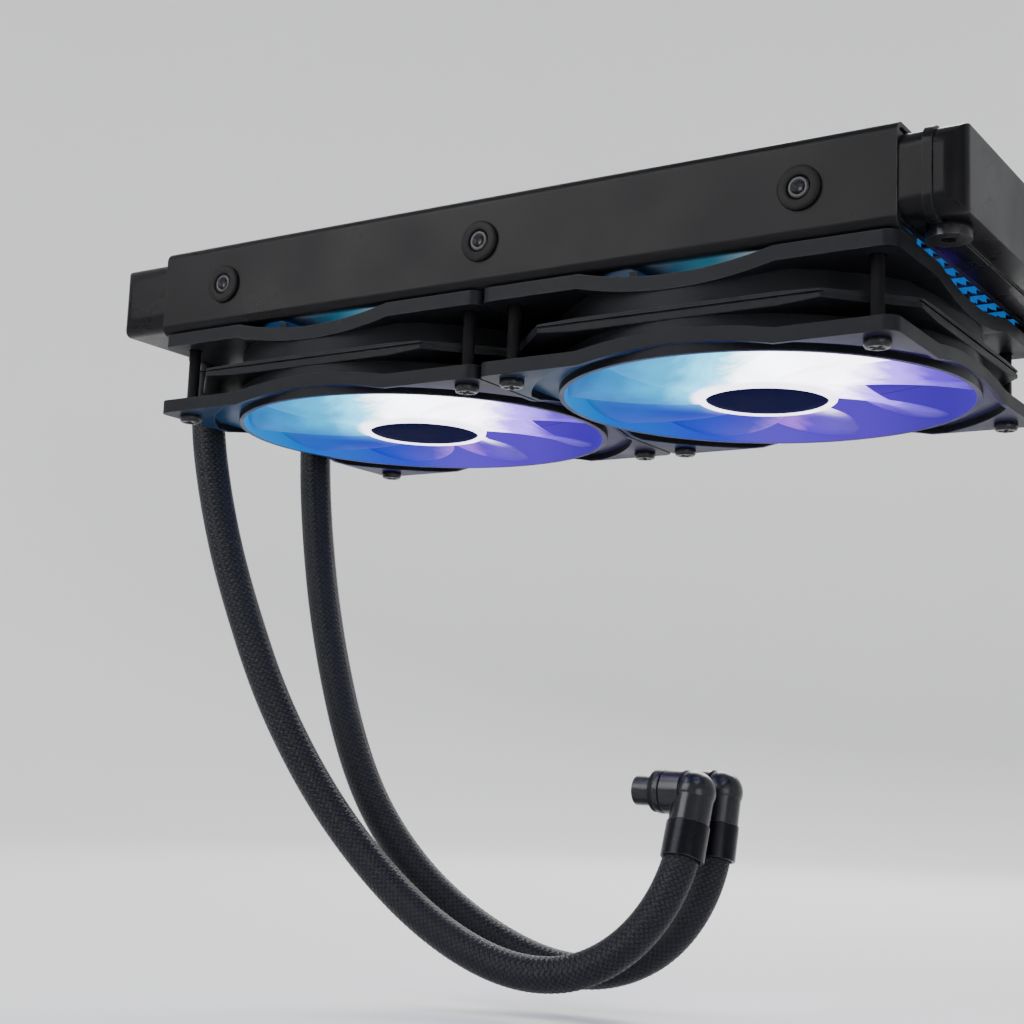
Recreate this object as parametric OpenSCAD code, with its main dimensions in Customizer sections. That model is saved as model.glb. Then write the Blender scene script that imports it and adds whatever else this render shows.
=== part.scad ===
// Liquid cooling radiator: a brazed core with two end tanks between folded side rails,
// two lit fans hung under it, and two sleeved hoses that end in swivelling elbows.
// Origin: middle of the case-side face, at the centre of the case bolt pattern.
// +X runs along the radiator away from its hoses, +Y to the far rail, +Z up to the case.

/* [Radiator] */
// Distance between the two fan centres; the rails are two of these long
fan_pitch = 120; // [120:1:150]
// Width across the rails
rad_width = 120; // [118:1:150]
// Depth from the case-side face to the fan-side face
rad_depth = 27; // [22:0.5:45]
// Rail sheet thickness
rail_sheet = 1.2; // [0.8:0.1:1.8]
// Width of each rail lip, the folded edge that carries the screws
rail_lip = 14; // [12:0.5:20]
// Outside radius of the rails' folded edges
rail_roll = 3; // [2:0.25:4]
// Depth of the finned core
core_depth = 18; // [12:0.5:30]
// Gap between a rail's web and the core plate behind it
core_gap = 3.8; // [2.5:0.1:6]
// Thickness of the core plates and the two header plates
plate_t = 1.2; // [0.8:0.1:2]
// Number of flat tubes
tube_count = 11; // [6:1:14]
// Outside thickness of a flat tube
tube_t = 2; // [1.6:0.1:3]
// Wall of a flat tube
tube_wall = 0.35; // [0.25:0.05:0.5]
// Length of one full fin wave
fin_wave = 8; // [5:0.5:12]
// Fin sheet thickness
fin_t = 0.4; // [0.2:0.05:0.6]

/* [Tanks] */
// Length of the tank that carries the hose ports
port_tank_l = 20; // [18:0.5:30]
// Length of the tank at the other end
return_tank_l = 16; // [14:0.5:26]
// Depth of both tanks
tank_depth = 22; // [20:0.5:26]
// Wall of both tanks
tank_wall = 1.6; // [1.2:0.1:2.2]
// Corner radius of both tanks
tank_r = 5; // [3:0.5:8]
// Width of the raised band round the return tank
band_w = 2.6; // [1.5:0.1:4]
// Fill plug radius
plug_r = 4; // [3:0.25:5]

/* [Ports and hoses] */
// Distance between the two hose ports
port_spacing = 56; // [40:1:70]
// Outside diameter of the sleeved hose
hose_d = 11; // [9:0.5:13]
// Bore of the ports, barbs and elbows
flow_r = 2.6; // [2:0.1:3]
// Radius of the barbs that the hoses are pushed over
barb_r = 3.6; // [3.4:0.1:4]
// Wall of the crimped collars on the hose ends
collar_wall = 1.1; // [0.8:0.1:2]
// Length of each crimped collar
collar_l = 14; // [10:0.5:18]
// Radius of the swivelling spigot's free end
spigot_r = 4.5; // [4:0.1:5]
// Running clearance of the spigot in its elbow, on the radius
swivel_gap = 0.06; // [0.02:0.01:0.1]

/* [Fans] */
// Side of the square fan frame
fan_size = 119.4; // [118:0.1:120]
// Depth of the fan frame
fan_depth = 25; // [24:0.5:32]
// Distance between the fan screws
screw_span = 105; // [100:0.5:106]
// Thickness of the two fan flanges
flange_t = 4; // [3:0.25:5]
// Depth of the dip in the outlet flange's middle
outlet_dip = 3.5; // [2:0.25:4]
// Depth of the dip in the inlet flange's middle
inlet_dip = 2.8; // [2:0.25:4]
// Half length of each dip
dip_half = 28; // [20:1:32]
// Bore of the frame, on the radius
bore_r = 57.6; // [56:0.1:57.8]
// Frame barrel wall
barrel_wall = 1.6; // [1.4:0.1:1.8]
// Gap between blade tips and bore
tip_gap = 1; // [0.6:0.1:2]
// Outside radius of the impeller hub
hub_r = 20; // [19:0.25:24]
// Radius of the hub cap
cap_r = 17.5; // [16:0.25:18]
// Number of blades
blade_count = 9; // [5:1:11]
// Thickness of a blade at its middle
blade_t = 1.4; // [1:0.1:2]
// Shaft radius
shaft_r = 1.5; // [1:0.1:2]
// Running clearance of the shaft in its sleeve, on the radius
shaft_gap = 0.03; // [0.01:0.01:0.1]

/* [Fasteners] */
// Radius of the fan screws and of the threaded holes in the rail lips
screw_r = 1.75; // [1.5:0.05:2]
// Radius of the clearance holes in the fan flanges
screw_hole_r = 2.15; // [2.1:0.05:2.5]
// Fan screw head radius
head_r = 3.5; // [3:0.1:4]
// Radius of the rail screws
rail_screw_r = 1.5; // [1.25:0.05:1.75]
// Distance from the middle rail screw to the outer ones
rail_screw_step = 95; // [80:1:110]
// Outside radius of the rail screws' grommets
grommet_r = 5.8; // [5:0.1:7]

/* [Hidden] */
$fn = 64;

eps = 0.01;
cut = 1;                                // how far a cutter runs past a face
thread_boss_h = 3;                      // length of the threaded holes in the rail lips
screw_room = 1;                         // between those holes and the core
frame_d = max(rad_depth, core_depth + 2 * (thread_boss_h + screw_room));
mid_z = -frame_d / 2;
rail_l = 2 * fan_pitch;
end_x = rail_l / 2;                     // where rails and headers stop and tanks start
near_y = -rad_width / 2;
tank_room = 0.4;                        // between the core and a tank's wall
tank_d = max(tank_depth, core_depth + 2 * (tank_wall + tank_room));
band_out = 0.8;                         // how far the return tank's band stands out
plate_y = rad_width / 2 - rail_sheet - core_gap;    // outer face of a core plate
core_w = 2 * (plate_y - plate_t);
fin_h = (core_w - tube_count * tube_t) / (tube_count + 1);
core_l = rail_l - 2 * plate_t;
tube_out = 1;                           // how far a tube stands into a tank
tank_w = rad_width - 1;
header_gap = 0.2;
header_w = rad_width - 2 * rail_sheet - 2 * header_gap;
header_d = min(frame_d - 2 * rail_sheet - 2 * header_gap, tank_d);
tank_floor = mid_z - tank_d / 2;    // underside of both tanks
port_x = -(end_x + port_tank_l / 2 - 1);
boss_r = 7.5;                           // boss round each port
boss_h = 3;
thread_boss_r = 3.4;
lip_edge = 1;                           // lip left beyond a threaded hole's boss
lip_w = max(rail_lip, rad_width / 2 - screw_span / 2 + thread_boss_r + lip_edge);
port_top = tank_floor + tank_wall;
port_seat = tank_floor - boss_h;        // face that a port's collar screws down on
port_r = 4.8;                           // threaded shank of a port
port_collar_r = 7;
port_collar_h = 3;
seal_t = 1.5;                           // thickness of the sealing rings
hose_top = port_seat - port_collar_h - seal_t;
barb_l = 15;
crimp_gap = 0.05;

fan_top = -frame_d;                     // outlet face of both fans
fan_bottom = fan_top - fan_depth;
seam_z = fan_top - 13.25;               // where the two frame halves meet
rib_up = 1.25;
rib_down = 2.35;
rib_square = 59.5;                      // half side of the middle rib
rib_corner = 100;                       // |x| + |y| of the rib's cut corners
rib_groove = 0.5;
rib_out = 76;                           // radius that the rib's corners reach
rib_flat = 66;                          // radius where the rib starts to thin
rib_step = 0.8;                         // depth of the groove along the seam
lip_l = 1.6;                            // spigot lip that lines up the two halves
lip_gap = 0.05;
outline_r = 3.5;                        // corner radius of the fan flanges
barrel_r = bore_r + barrel_wall;
pocket_r = 67;                          // outer edge of the corner recesses
pocket_h = 2.2;
pocket_edge = 1.5;                      // flange left outside the corner recesses
plate_gap = 0.6;                        // motor plate below the outlet face
motor_plate_t = 2;
strut_count = 7;
strut_w = 2.4;
strut_h = 3;
strut_offset = 6;                       // how far each arm starts beside the fan's axis
strut_lean = 9;
motor_z = fan_top - plate_gap - motor_plate_t;      // underside of the motor plate
tube_r = 4.6;                           // bearing tube of the frame
sleeve_r = 3.6;
pocket_l = 3;                           // room for the shaft clip above the sleeve
sleeve_l = 11;
bearing_end = motor_z - pocket_l - sleeve_l;
board_t = 1.2;
board_r = 19;
light_count = 8;
light_r = 17.7;
light_size = 1.4;
stator_r = 13;
stator_top = motor_z - 5;
stator_h = 6;
magnet_in = 13.6;
yoke_in = 15.2;
yoke_r = 16;
yoke_top = motor_z - 4;
cap_t = 1;
hub_wall = 1.6;
hub_floor = 1.5;
hub_top = fan_top - 6.2;                // upper rim of the impeller hub
yoke_end = fan_bottom + cap_t + hub_floor + eps;
tip_r = bore_r - tip_gap;
blade_root = hub_r - 0.6;
blade_top = hub_top - 0.6;
blade_bottom = fan_bottom + 0.8;
gland_r = 2.4;
gland_l = 3;
head_h = 2.3;
screw_end = fan_top + rail_sheet + thread_boss_h - 0.5;
recess_r = 2;                           // cross recess in a fan screw's head
recess_w = 0.9;

fan_x = [-fan_pitch / 2, fan_pitch / 2];
near = -1;
far = 1;

plug_x = end_x + return_tank_l / 2;
plug_y = near * (rad_width / 2 - 14);
plug_h = 2.2;
plug_seal_t = 0.8;
neck_r = grommet_r - 1.6;               // waist of a grommet, where the rail's web grips it
grommet_out = 1.2;                      // how far a grommet stands proud of the web
rail_head_r = 3.1;
rail_head_h = 1.4;
rail_seat = 0.8;                        // depth of the screw head's seat in the grommet
pole_count = 4;
pole_w = 4;
pole_tip_t = 1.4;
pole_tip_w = 14;
coil_out = 1.1;                         // how far a winding stands out from its pole
clip_t = 0.6;
clip_r = 2.8;
clip_z = bearing_end + sleeve_l + 0.8;
groove_in = 0.4;                        // depth of the shaft's groove for its clip
blade_rings = 8;
blade_steps = 8;
blade_span = 43;                        // angle that a blade covers at its root
tip_span = 42;
blade_sweep = 26;
tip_height = 0.85;                      // blade height at the tip over that at the root
blade_bend = 1.9;                       // above 1, a blade is flatter towards the inlet

elbow_wall = 1.7;                       // elbow wall round its spigot
ferrule_step = 0.7;                     // how far the elbow's end stands out past the hose
elbow_r = max(spigot_r + elbow_wall, hose_d / 2 + ferrule_step);
elbow_l = 10;                           // from the elbow's corner to its hose end
socket_r = elbow_r + 0.5;
socket_l = 9;                           // from the elbow's corner to its swivel face
swivel_l = 6;
spigot_collar = 2;
spigot_free = 6.5;
swivel_face_gap = 0.3;
ferrule_l = 11;
corner_extra = 0.4;                     // how much rounder an elbow is at its corner than its arms
spigot_relief = 0.3;                    // how much slimmer the spigot is under its seal

// The hoses' own points, from the port end to the elbow end, measured from the port.
near_way = [
    [0, 0, 0], [0, 0, -13], [2, 0, -26], [6, 1, -44], [11, 3, -63], [17, 7, -83],
    [23, 12, -103], [31, 18, -122], [41, 24, -140], [53, 30, -156], [68, 34, -170],
    [86, 37, -181], [105, 39, -187], [124, 41, -186], [140, 43, -177],
    [150, 46, -164], [154, 50, -151], [154, 54, -140]
];
far_way = [
    [0, 0, 0], [0, 0, -13], [2, -1, -30], [6, -2, -52], [13, -5, -75], [22, -8, -98],
    [32, -11, -119], [42, -12, -137], [52, -9, -152], [64, -4, -166], [80, 2, -178],
    [100, 7, -187], [120, 10, -188], [138, 12, -180], [149, 13, -167], [154, 15, -153],
    [154, 18, -140]
];
hose_sides = 12;
near_route = [for (p = near_way) p + [port_x, near * port_spacing / 2, hose_top]];
far_route = [for (p = far_way) p + [port_x, far * port_spacing / 2, hose_top]];

// ---- shared shapes -------------------------------------------------------------

module rounded_box(size, r) {           // rounded square outline about the origin
    for (sx = [-1, 1], sy = [-1, 1])
        translate([sx * (size[0] / 2 - r), sy * (size[1] / 2 - r)]) circle(r);
    square([size[0] - 2 * r, size[1]], center = true);
    square([size[0], size[1] - 2 * r], center = true);
}

module ring(outer, inner, h) {          // tube standing on the origin
    difference() {
        cylinder(r = outer, h = h);
        translate([0, 0, -cut]) cylinder(r = inner, h = h + 2 * cut);
    }
}

module at_screws() {                    // the four screw places of one fan
    for (sx = [-1, 1], sy = [-1, 1])
        translate([sx * screw_span / 2, sy * screw_span / 2, 0]) children();
}

module at_rail_screws(side) {           // the three screw places of one rail, axis inward
    for (k = [-1, 0, 1])
        translate([k * rail_screw_step, side * rad_width / 2, mid_z])
            rotate([side * 90, 0, 0]) children();
}

// ---- radiator core -------------------------------------------------------------

module flat_tube_outline(t) {           // stadium section of a flat tube
    h = core_depth - tube_t + t;
    square([t, h - t], center = true);
    for (s = [-1, 1]) translate([0, s * (h - t) / 2]) circle(t / 2, $fn = 24);
}

module along_x(l) {                     // extrudes a Y-Z outline along X, centred
    rotate([90, 0, 90]) translate([0, 0, -l / 2]) linear_extrude(l) children();
}

module tube_bank(l, hollow = true) {
    for (i = [1 : tube_count])
        translate([0, -core_w / 2 + i * (fin_h + tube_t) - tube_t / 2, mid_z]) along_x(l)
            difference() {
                flat_tube_outline(tube_t);
                if (hollow) flat_tube_outline(tube_t - 2 * tube_wall);
            }
}

module core_tubes() {
    color("dimgray") tube_bank(rail_l + 2 * tube_out);
}

// Square-wave outline of one fin strip, from x = 0, between y = 0 and y = h.
function fin_over(n, p, h, t) = [
    for (k = [0 : n - 1]) each [
        [k * p, h], [k * p + p / 2 + t, h], [k * p + p / 2 + t, t], [(k + 1) * p, t]
    ]
];
function fin_under(n, p, h, t) = [
    for (k = [0 : n - 1]) each [
        [k * p + t, 0], [k * p + t, h - t], [k * p + p / 2, h - t], [k * p + p / 2, 0]
    ]
];

module fin_strip(l, h) {
    n = floor((l - fin_t) / fin_wave);
    p = (l - fin_t) / n;
    over = fin_over(n, p, h, fin_t);
    under = fin_under(n, p, h, fin_t);
    polygon(concat([[0, 0]], over, [[n * p, h], [n * p + fin_t, h], [n * p + fin_t, 0]],
        [for (i = [len(under) - 1 : -1 : 1]) under[i]], [[fin_t, h - fin_t], [fin_t, 0]]));
}

module core_fins() {
    color("royalblue") for (i = [0 : tube_count])
        translate([-core_l / 2, -core_w / 2 + i * (fin_h + tube_t), mid_z - core_depth / 2])
            linear_extrude(core_depth) fin_strip(core_l, fin_h);
}

module core_plate(side) {
    color("dimgray") difference() {
        translate([-core_l / 2, side > 0 ? plate_y - plate_t : -plate_y, mid_z - core_depth / 2])
            cube([core_l, plate_t, core_depth]);
        at_rail_screws(side) cylinder(r = rail_screw_r, h = rad_width / 2);
    }
}

module near_core_plate() core_plate(near);
module far_core_plate() core_plate(far);

module header(side) {
    color("gray") difference() {
        translate([side * (end_x - plate_t / 2), 0, mid_z]) along_x(plate_t)
            square([header_w, header_d], center = true);
        tube_bank(rail_l + 4 * tube_out, false);
    }
}

module port_header() header(-1);
module return_header() header(1);

// ---- tanks ---------------------------------------------------------------------

// Tank shell, open towards the core, rounded at its outer corners.
module tank_shell(side, l, inset = 0) {
    w = tank_w - 2 * inset;
    d = tank_d - 2 * inset;
    r = tank_r - inset;
    translate([side * end_x, 0, mid_z]) intersection() {
        translate([side * (l - inset) / 2, 0, 0]) along_x(l - inset)
            rounded_box([w, d], r);
        translate([0, 0, -tank_d]) linear_extrude(2 * tank_d)
            rounded_box([2 * (l - inset), w], r);
    }
}

module port_tank() {
    color([0.09, 0.09, 0.10]) difference() {
        union() {
            tank_shell(-1, port_tank_l);
            for (s = [near, far]) translate([port_x, s * port_spacing / 2, port_seat])
                cylinder(r = boss_r, h = boss_h + tank_wall);
        }
        tank_shell(-1, port_tank_l, tank_wall);
        for (s = [near, far]) translate([port_x, s * port_spacing / 2, port_seat - cut])
            cylinder(r = port_r, h = boss_h + tank_wall + 2 * cut);
    }
}

module return_tank() {
    color([0.09, 0.09, 0.10]) difference() {
        union() {
            tank_shell(1, return_tank_l);
            intersection() {            // raised band round the tank
                translate([end_x + return_tank_l * 0.45, 0, mid_z]) along_x(band_w)
                    rounded_box([rad_width, tank_d + 2 * band_out], tank_r + band_out / 2);
                translate([end_x, near_y, -frame_d])
                    cube([return_tank_l, rad_width, frame_d]);
            }
        }
        // flat seat for the fill plug's seal, through the band
        translate([plug_x, plug_y, tank_floor - 2 * cut]) cylinder(r = plug_r + 2, h = 2 * cut);
        tank_shell(1, return_tank_l, tank_wall);
        translate([plug_x, plug_y, tank_floor - 2 * cut])
            cylinder(r = plug_r, h = tank_wall + 3 * cut);
    }
}

module tank_divider() {
    t = tank_wall;
    color("gray") translate([-end_x - (port_tank_l - tank_wall), -t / 2,
            mid_z - tank_d / 2 + tank_wall])
        cube([port_tank_l - tank_wall - tube_out, t, tank_d - 2 * tank_wall]);
}

module fill_plug() {
    color([0.12, 0.12, 0.13]) difference() {
        translate([plug_x, plug_y, 0]) {
            translate([0, 0, tank_floor]) cylinder(r = plug_r, h = tank_wall);
            translate([0, 0, tank_floor - plug_h - plug_seal_t]) cylinder(r = plug_r + 1.6, h = plug_h);
            translate([0, 0, tank_floor - plug_seal_t])
                cylinder(r = plug_r - 0.6, h = plug_seal_t + eps);
        }
        translate([plug_x, plug_y, tank_floor - plug_h - plug_seal_t - cut])
            cylinder(r = 2.2, h = 1.4 + cut, $fn = 6);
    }
}

module fill_plug_seal() {
    color("black") translate([plug_x, plug_y, tank_floor - plug_seal_t])
        ring(plug_r + 1.2, plug_r - 0.6, plug_seal_t);
}

// ---- side rails ----------------------------------------------------------------

module rail_section() {                 // Y-Z section of the near rail, web at y = near_y
    w = lip_w;
    difference() {
        intersection() {
            translate([near_y + w, mid_z]) rounded_box([2 * w, frame_d], rail_roll);
            translate([near_y, -frame_d]) square([w, frame_d]);
        }
        translate([near_y + rail_sheet + w, mid_z])
            rounded_box([2 * w, frame_d - 2 * rail_sheet], rail_roll - rail_sheet + 0.2);
    }
}

module side_rail(side) {
    color([0.08, 0.08, 0.09]) difference() {
        union() {
            if (side < 0) along_x(rail_l) rail_section();
            else mirror([0, 1, 0]) along_x(rail_l) rail_section();
            for (fx = fan_x, sx = [-1, 1], z = [-thread_boss_h, -frame_d])
                translate([fx + sx * screw_span / 2, side * screw_span / 2, z])
                    cylinder(r = thread_boss_r, h = thread_boss_h);
        }
        for (fx = fan_x, sx = [-1, 1], z = [-thread_boss_h, -frame_d])
            translate([fx + sx * screw_span / 2, side * screw_span / 2, z - cut])
                cylinder(r = screw_r, h = thread_boss_h + 2 * cut);
        at_rail_screws(side) translate([0, 0, -cut]) cylinder(r = neck_r, h = rail_sheet + 2 * cut);
    }
}

module near_side_rail() side_rail(near);
module far_side_rail() side_rail(far);

// ---- rail screws ---------------------------------------------------------------

module rail_grommets() {
    deep = rail_sheet + core_gap;
    color([0.05, 0.05, 0.05]) for (side = [near, far]) at_rail_screws(side)
        rotate_extrude() polygon([
            [rail_screw_r, -grommet_out + rail_seat], [rail_head_r, -grommet_out + rail_seat],
            [rail_head_r, -grommet_out], [grommet_r - 0.5, -grommet_out],
            [grommet_r, -grommet_out + 0.5], [grommet_r, 0], [neck_r, 0],
            [neck_r, rail_sheet], [grommet_r, rail_sheet], [grommet_r, deep],
            [rail_screw_r, deep]
        ]);
}

module rail_screws() {
    color([0.16, 0.16, 0.17]) for (side = [near, far]) at_rail_screws(side) difference() {
        union() {
            translate([0, 0, -grommet_out + rail_seat - rail_head_h])
                cylinder(r = rail_head_r - 0.1, h = rail_head_h);
            translate([0, 0, -grommet_out + rail_seat - eps])
                cylinder(r = rail_screw_r, h = grommet_out - rail_seat + rail_sheet + core_gap + plate_t);
        }
        translate([0, 0, -grommet_out + rail_seat - rail_head_h - cut])
            cylinder(r = 1.5, h = 0.9 + cut, $fn = 6);
    }
}

// ---- ports and hoses -----------------------------------------------------------

module port(side) {
    color([0.13, 0.13, 0.14]) translate([port_x, side * port_spacing / 2, 0]) difference() {
        union() {
            translate([0, 0, port_seat - seal_t]) cylinder(r = port_r, h = port_top - port_seat + seal_t);
            translate([0, 0, hose_top]) cylinder(r = port_collar_r, h = port_collar_h);
            translate([0, 0, hose_top - barb_l]) cylinder(r = barb_r, h = barb_l + eps);
        }
        translate([0, 0, hose_top - barb_l - cut])
            cylinder(r = flow_r, h = barb_l + port_top - hose_top + 2 * cut);
    }
}

module near_port() port(near);
module far_port() port(far);

module port_seals() {
    color("black") for (s = [near, far])
        translate([port_x, s * port_spacing / 2, port_seat - seal_t])
            ring(port_collar_r - 0.6, port_r, seal_t);
}

function unit(v) = v / norm(v);
function tangent(p, i) = unit(p[min(i + 1, len(p) - 1)] - p[max(i - 1, 0)]);
function hose_ring(c, t, r) = let (side = unit(cross(t, [0, 1, 0])), up = cross(side, t)) [
    for (k = [0 : hose_sides - 1])
        c + r * (cos(360 * k / hose_sides) * side + sin(360 * k / hose_sides) * up)
];

module hose(route) {                    // tube swept through its route's points
    n = len(route);
    m = hose_sides;
    points = [for (i = [0 : n - 1]) each hose_ring(route[i], tangent(route, i), hose_d / 2)];
    walls = [for (i = [0 : n - 2], k = [0 : m - 1]) each [
        [i * m + k, i * m + (k + 1) % m, (i + 1) * m + k],
        [i * m + (k + 1) % m, (i + 1) * m + (k + 1) % m, (i + 1) * m + k]
    ]];
    start = [[for (k = [m - 1 : -1 : 0]) k]];
    finish = [[for (k = [0 : m - 1]) (n - 1) * m + k]];
    color([0.10, 0.10, 0.12]) polyhedron(points, concat(walls, start, finish));
}

module near_hose() hose(near_route);
module far_hose() hose(far_route);

module hose_collar(side) {              // crimped collar at the port end
    color([0.12, 0.12, 0.13]) translate([port_x, side * port_spacing / 2, hose_top - collar_l])
        ring(hose_d / 2 + collar_wall, hose_d / 2 + crimp_gap, collar_l);
}

module near_hose_collar() hose_collar(near);
module far_hose_collar() hose_collar(far);

function last(route) = route[len(route) - 1];
function end_way(route) = tangent(route, len(route) - 1);
function elbow_corner(route) = last(route) + elbow_l * end_way(route);

module at_elbow(route) {                // +Z along the elbow's hose arm, away from its corner
    way = -end_way(route);
    translate(elbow_corner(route)) rotate([0, acos(way[2]), atan2(way[1], way[0])]) children();
}

module at_swivel(route) {               // +Z along the elbow's other arm, away from its corner
    translate(elbow_corner(route)) rotate([0, -90, 0]) children();
}

module ferrule(route) {
    color([0.12, 0.12, 0.13]) at_elbow(route) translate([0, 0, elbow_l])
        ring(hose_d / 2 + collar_wall, hose_d / 2 + crimp_gap, ferrule_l);
}

module near_hose_ferrule() ferrule(near_route);
module far_hose_ferrule() ferrule(far_route);

module elbow(route) {
    color([0.14, 0.14, 0.15]) difference() {
        union() {
            at_elbow(route) {
                cylinder(r = elbow_r, h = elbow_l);
                cylinder(r = barb_r, h = elbow_l + ferrule_l);
            }
            translate(elbow_corner(route)) sphere(elbow_r + corner_extra);
            at_swivel(route) {
                cylinder(r = elbow_r, h = socket_l);
                translate([0, 0, socket_l - swivel_l - 0.5]) cylinder(r = socket_r, h = swivel_l + 0.5);
            }
        }
        translate(elbow_corner(route)) sphere(flow_r + corner_extra);
        at_elbow(route) cylinder(r = flow_r, h = elbow_l + ferrule_l + cut);
        at_swivel(route) {
            cylinder(r = flow_r, h = socket_l + cut);
            translate([0, 0, socket_l - swivel_l]) cylinder(r = spigot_r + swivel_gap, h = swivel_l + cut);
        }
    }
}

module near_elbow() elbow(near_route);
module far_elbow() elbow(far_route);

module spigot(route) {                  // turns in the elbow, about X
    collar_z = socket_l + swivel_face_gap;
    seal_z = collar_z + spigot_collar;
    color([0.18, 0.18, 0.19]) at_swivel(route) difference() {
        union() {
            translate([0, 0, socket_l - swivel_l + swivel_face_gap]) cylinder(r = spigot_r, h = swivel_l);
            translate([0, 0, collar_z]) cylinder(r = socket_r, h = spigot_collar);
            translate([0, 0, seal_z]) cylinder(r = spigot_r - spigot_relief, h = seal_t);
            translate([0, 0, seal_z + seal_t]) cylinder(r = spigot_r, h = spigot_free);
        }
        cylinder(r = flow_r, h = seal_z + seal_t + spigot_free + cut);
    }
}

module near_spigot() spigot(near_route);
module far_spigot() spigot(far_route);

module spigot_seal(route) {
    color("black") at_swivel(route) translate([0, 0, socket_l + swivel_face_gap + spigot_collar])
        ring(socket_r - 0.4, spigot_r - spigot_relief, seal_t);
}

module near_spigot_seal() spigot_seal(near_route);
module far_spigot_seal() spigot_seal(far_route);

// ---- fan frames ----------------------------------------------------------------

// Cylinders whose lowest line is the curve of a dip, through both pairs of sides.
module dip_rods(dip, extra) {
    rod_r = (dip_half * dip_half + dip * dip) / (2 * dip);
    for (a = [0, 90]) rotate(a) translate([0, 0, rod_r - dip]) rotate([90, 0, 0])
        cylinder(r = rod_r + extra, h = 2 * fan_size, center = true, $fn = 180);
}

module fan_outline(h) {
    linear_extrude(h) rounded_box([fan_size, fan_size], outline_r);
}

// Flange with its outer face at z = 0, reaching down, dipping at the middle of each side.
module dished_flange(dip) {
    intersection() {
        translate([0, 0, -flange_t - dip]) fan_outline(flange_t + dip);
        union() {
            translate([-fan_size, -fan_size, -flange_t]) cube([2 * fan_size, 2 * fan_size, flange_t]);
            dip_rods(dip, flange_t);
        }
    }
}

// Middle rib of height h above z = 0, tapering towards its cut corners.
module rib_half(h) {
    intersection() {
        rotate_extrude($fn = 180)
            polygon([[0, 0], [rib_out, 0], [rib_out, 0.4 * h], [rib_flat, h], [0, h]]);
        translate([-rib_square, -rib_square, -cut]) cube([2 * rib_square, 2 * rib_square, h + 2 * cut]);
        rotate(45) translate([-rib_corner / sqrt(2), -rib_corner / sqrt(2), -cut])
            cube([2 * rib_corner / sqrt(2), 2 * rib_corner / sqrt(2), h + 2 * cut]);
    }
}

module struts() {                       // slanting arms from the motor plate to the barrel
    for (k = [0 : strut_count - 1]) rotate(360 / strut_count * k)
        translate([board_r + 0.4, -strut_w / 2 - strut_offset, -plate_gap - strut_h]) rotate(strut_lean)
            cube([bore_r - board_r + 1, strut_w, strut_h]);
}

module outlet_frame(x) {
    depth = fan_top - seam_z;
    color([0.13, 0.13, 0.14]) translate([x, 0, fan_top]) difference() {
        union() {
            difference() {
                union() {
                    dished_flange(outlet_dip);
                    translate([0, 0, -depth]) cylinder(r = barrel_r, h = depth, $fn = 180);
                    translate([0, 0, -depth]) rib_half(rib_up);
                }
                translate([0, 0, -depth - cut]) cylinder(r = bore_r, h = depth + 2 * cut, $fn = 180);
                dip_rods(outlet_dip, 0);
            }
            intersection() {
                struts();
                translate([0, 0, -flange_t - 2]) cylinder(r = barrel_r - 0.2, h = flange_t + 2, $fn = 180);
            }
            translate([0, 0, motor_z - fan_top]) cylinder(r = hub_r + 1, h = motor_plate_t);
            translate([0, 0, bearing_end - fan_top])
                cylinder(r = tube_r, h = motor_z - bearing_end + eps);
        }
        // rebate for the other half's lip
        translate([0, 0, -depth - cut])
            ring(bore_r + barrel_wall / 2, bore_r - cut, lip_l + cut + lip_gap, $fn = 180);
        // bore of the bearing tube
        translate([0, 0, bearing_end - fan_top - cut])
            cylinder(r = sleeve_r, h = pocket_l + sleeve_l + cut);
        // groove along the seam
        translate([0, 0, -depth - cut]) difference() {
            cylinder(r = rib_out + cut, h = cut + rib_groove / 2);
            translate([-rib_square + rib_step, -rib_square + rib_step, -cut])
                cube([2 * (rib_square - rib_step), 2 * (rib_square - rib_step), 3 * cut]);
        }
        at_screws() translate([0, 0, -depth - cut]) cylinder(r = screw_hole_r, h = depth + 2 * cut);
    }
}

module inlet_frame(x) {
    depth = seam_z - fan_bottom;
    color([0.15, 0.15, 0.16]) translate([x, 0, fan_bottom]) difference() {
        union() {
            difference() {
                union() {
                    mirror([0, 0, 1]) dished_flange(inlet_dip);
                    translate([0, 0, depth]) mirror([0, 0, 1]) rib_half(rib_down);
                }
                mirror([0, 0, 1]) dip_rods(inlet_dip, 0);
            }
            cylinder(r = barrel_r, h = depth, $fn = 180);
            translate([0, 0, depth - cut])
                cylinder(r = bore_r + barrel_wall / 2 - lip_gap, h = lip_l + cut, $fn = 180);
        }
        translate([0, 0, -cut]) cylinder(r = bore_r, h = depth + lip_l + 2 * cut, $fn = 180);
        // recesses between the ears and the barrel, inside the flange's edges
        intersection() {
            translate([0, 0, -cut]) ring(pocket_r, barrel_r, pocket_h + cut);
            translate([0, 0, -cut]) linear_extrude(pocket_h + cut)
                square(fan_size - 2 * pocket_edge, center = true);
        }
        // groove along the seam
        translate([0, 0, depth - rib_groove / 2]) difference() {
            cylinder(r = rib_out + cut, h = cut);
            translate([-rib_square + rib_step, -rib_square + rib_step, -cut])
                cube([2 * (rib_square - rib_step), 2 * (rib_square - rib_step), 3 * cut]);
        }
        at_screws() translate([0, 0, -cut]) cylinder(r = screw_hole_r, h = depth + 2 * cut);
    }
}

module rear_outlet_frame() outlet_frame(fan_x[0]);
module front_outlet_frame() outlet_frame(fan_x[1]);
module rear_inlet_frame() inlet_frame(fan_x[0]);
module front_inlet_frame() inlet_frame(fan_x[1]);

// ---- fan motors ----------------------------------------------------------------

module circuit_board(x) {
    color("darkgreen") translate([x, 0, motor_z - board_t]) ring(board_r, tube_r, board_t);
}

module rear_circuit_board() circuit_board(fan_x[0]);
module front_circuit_board() circuit_board(fan_x[1]);

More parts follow.
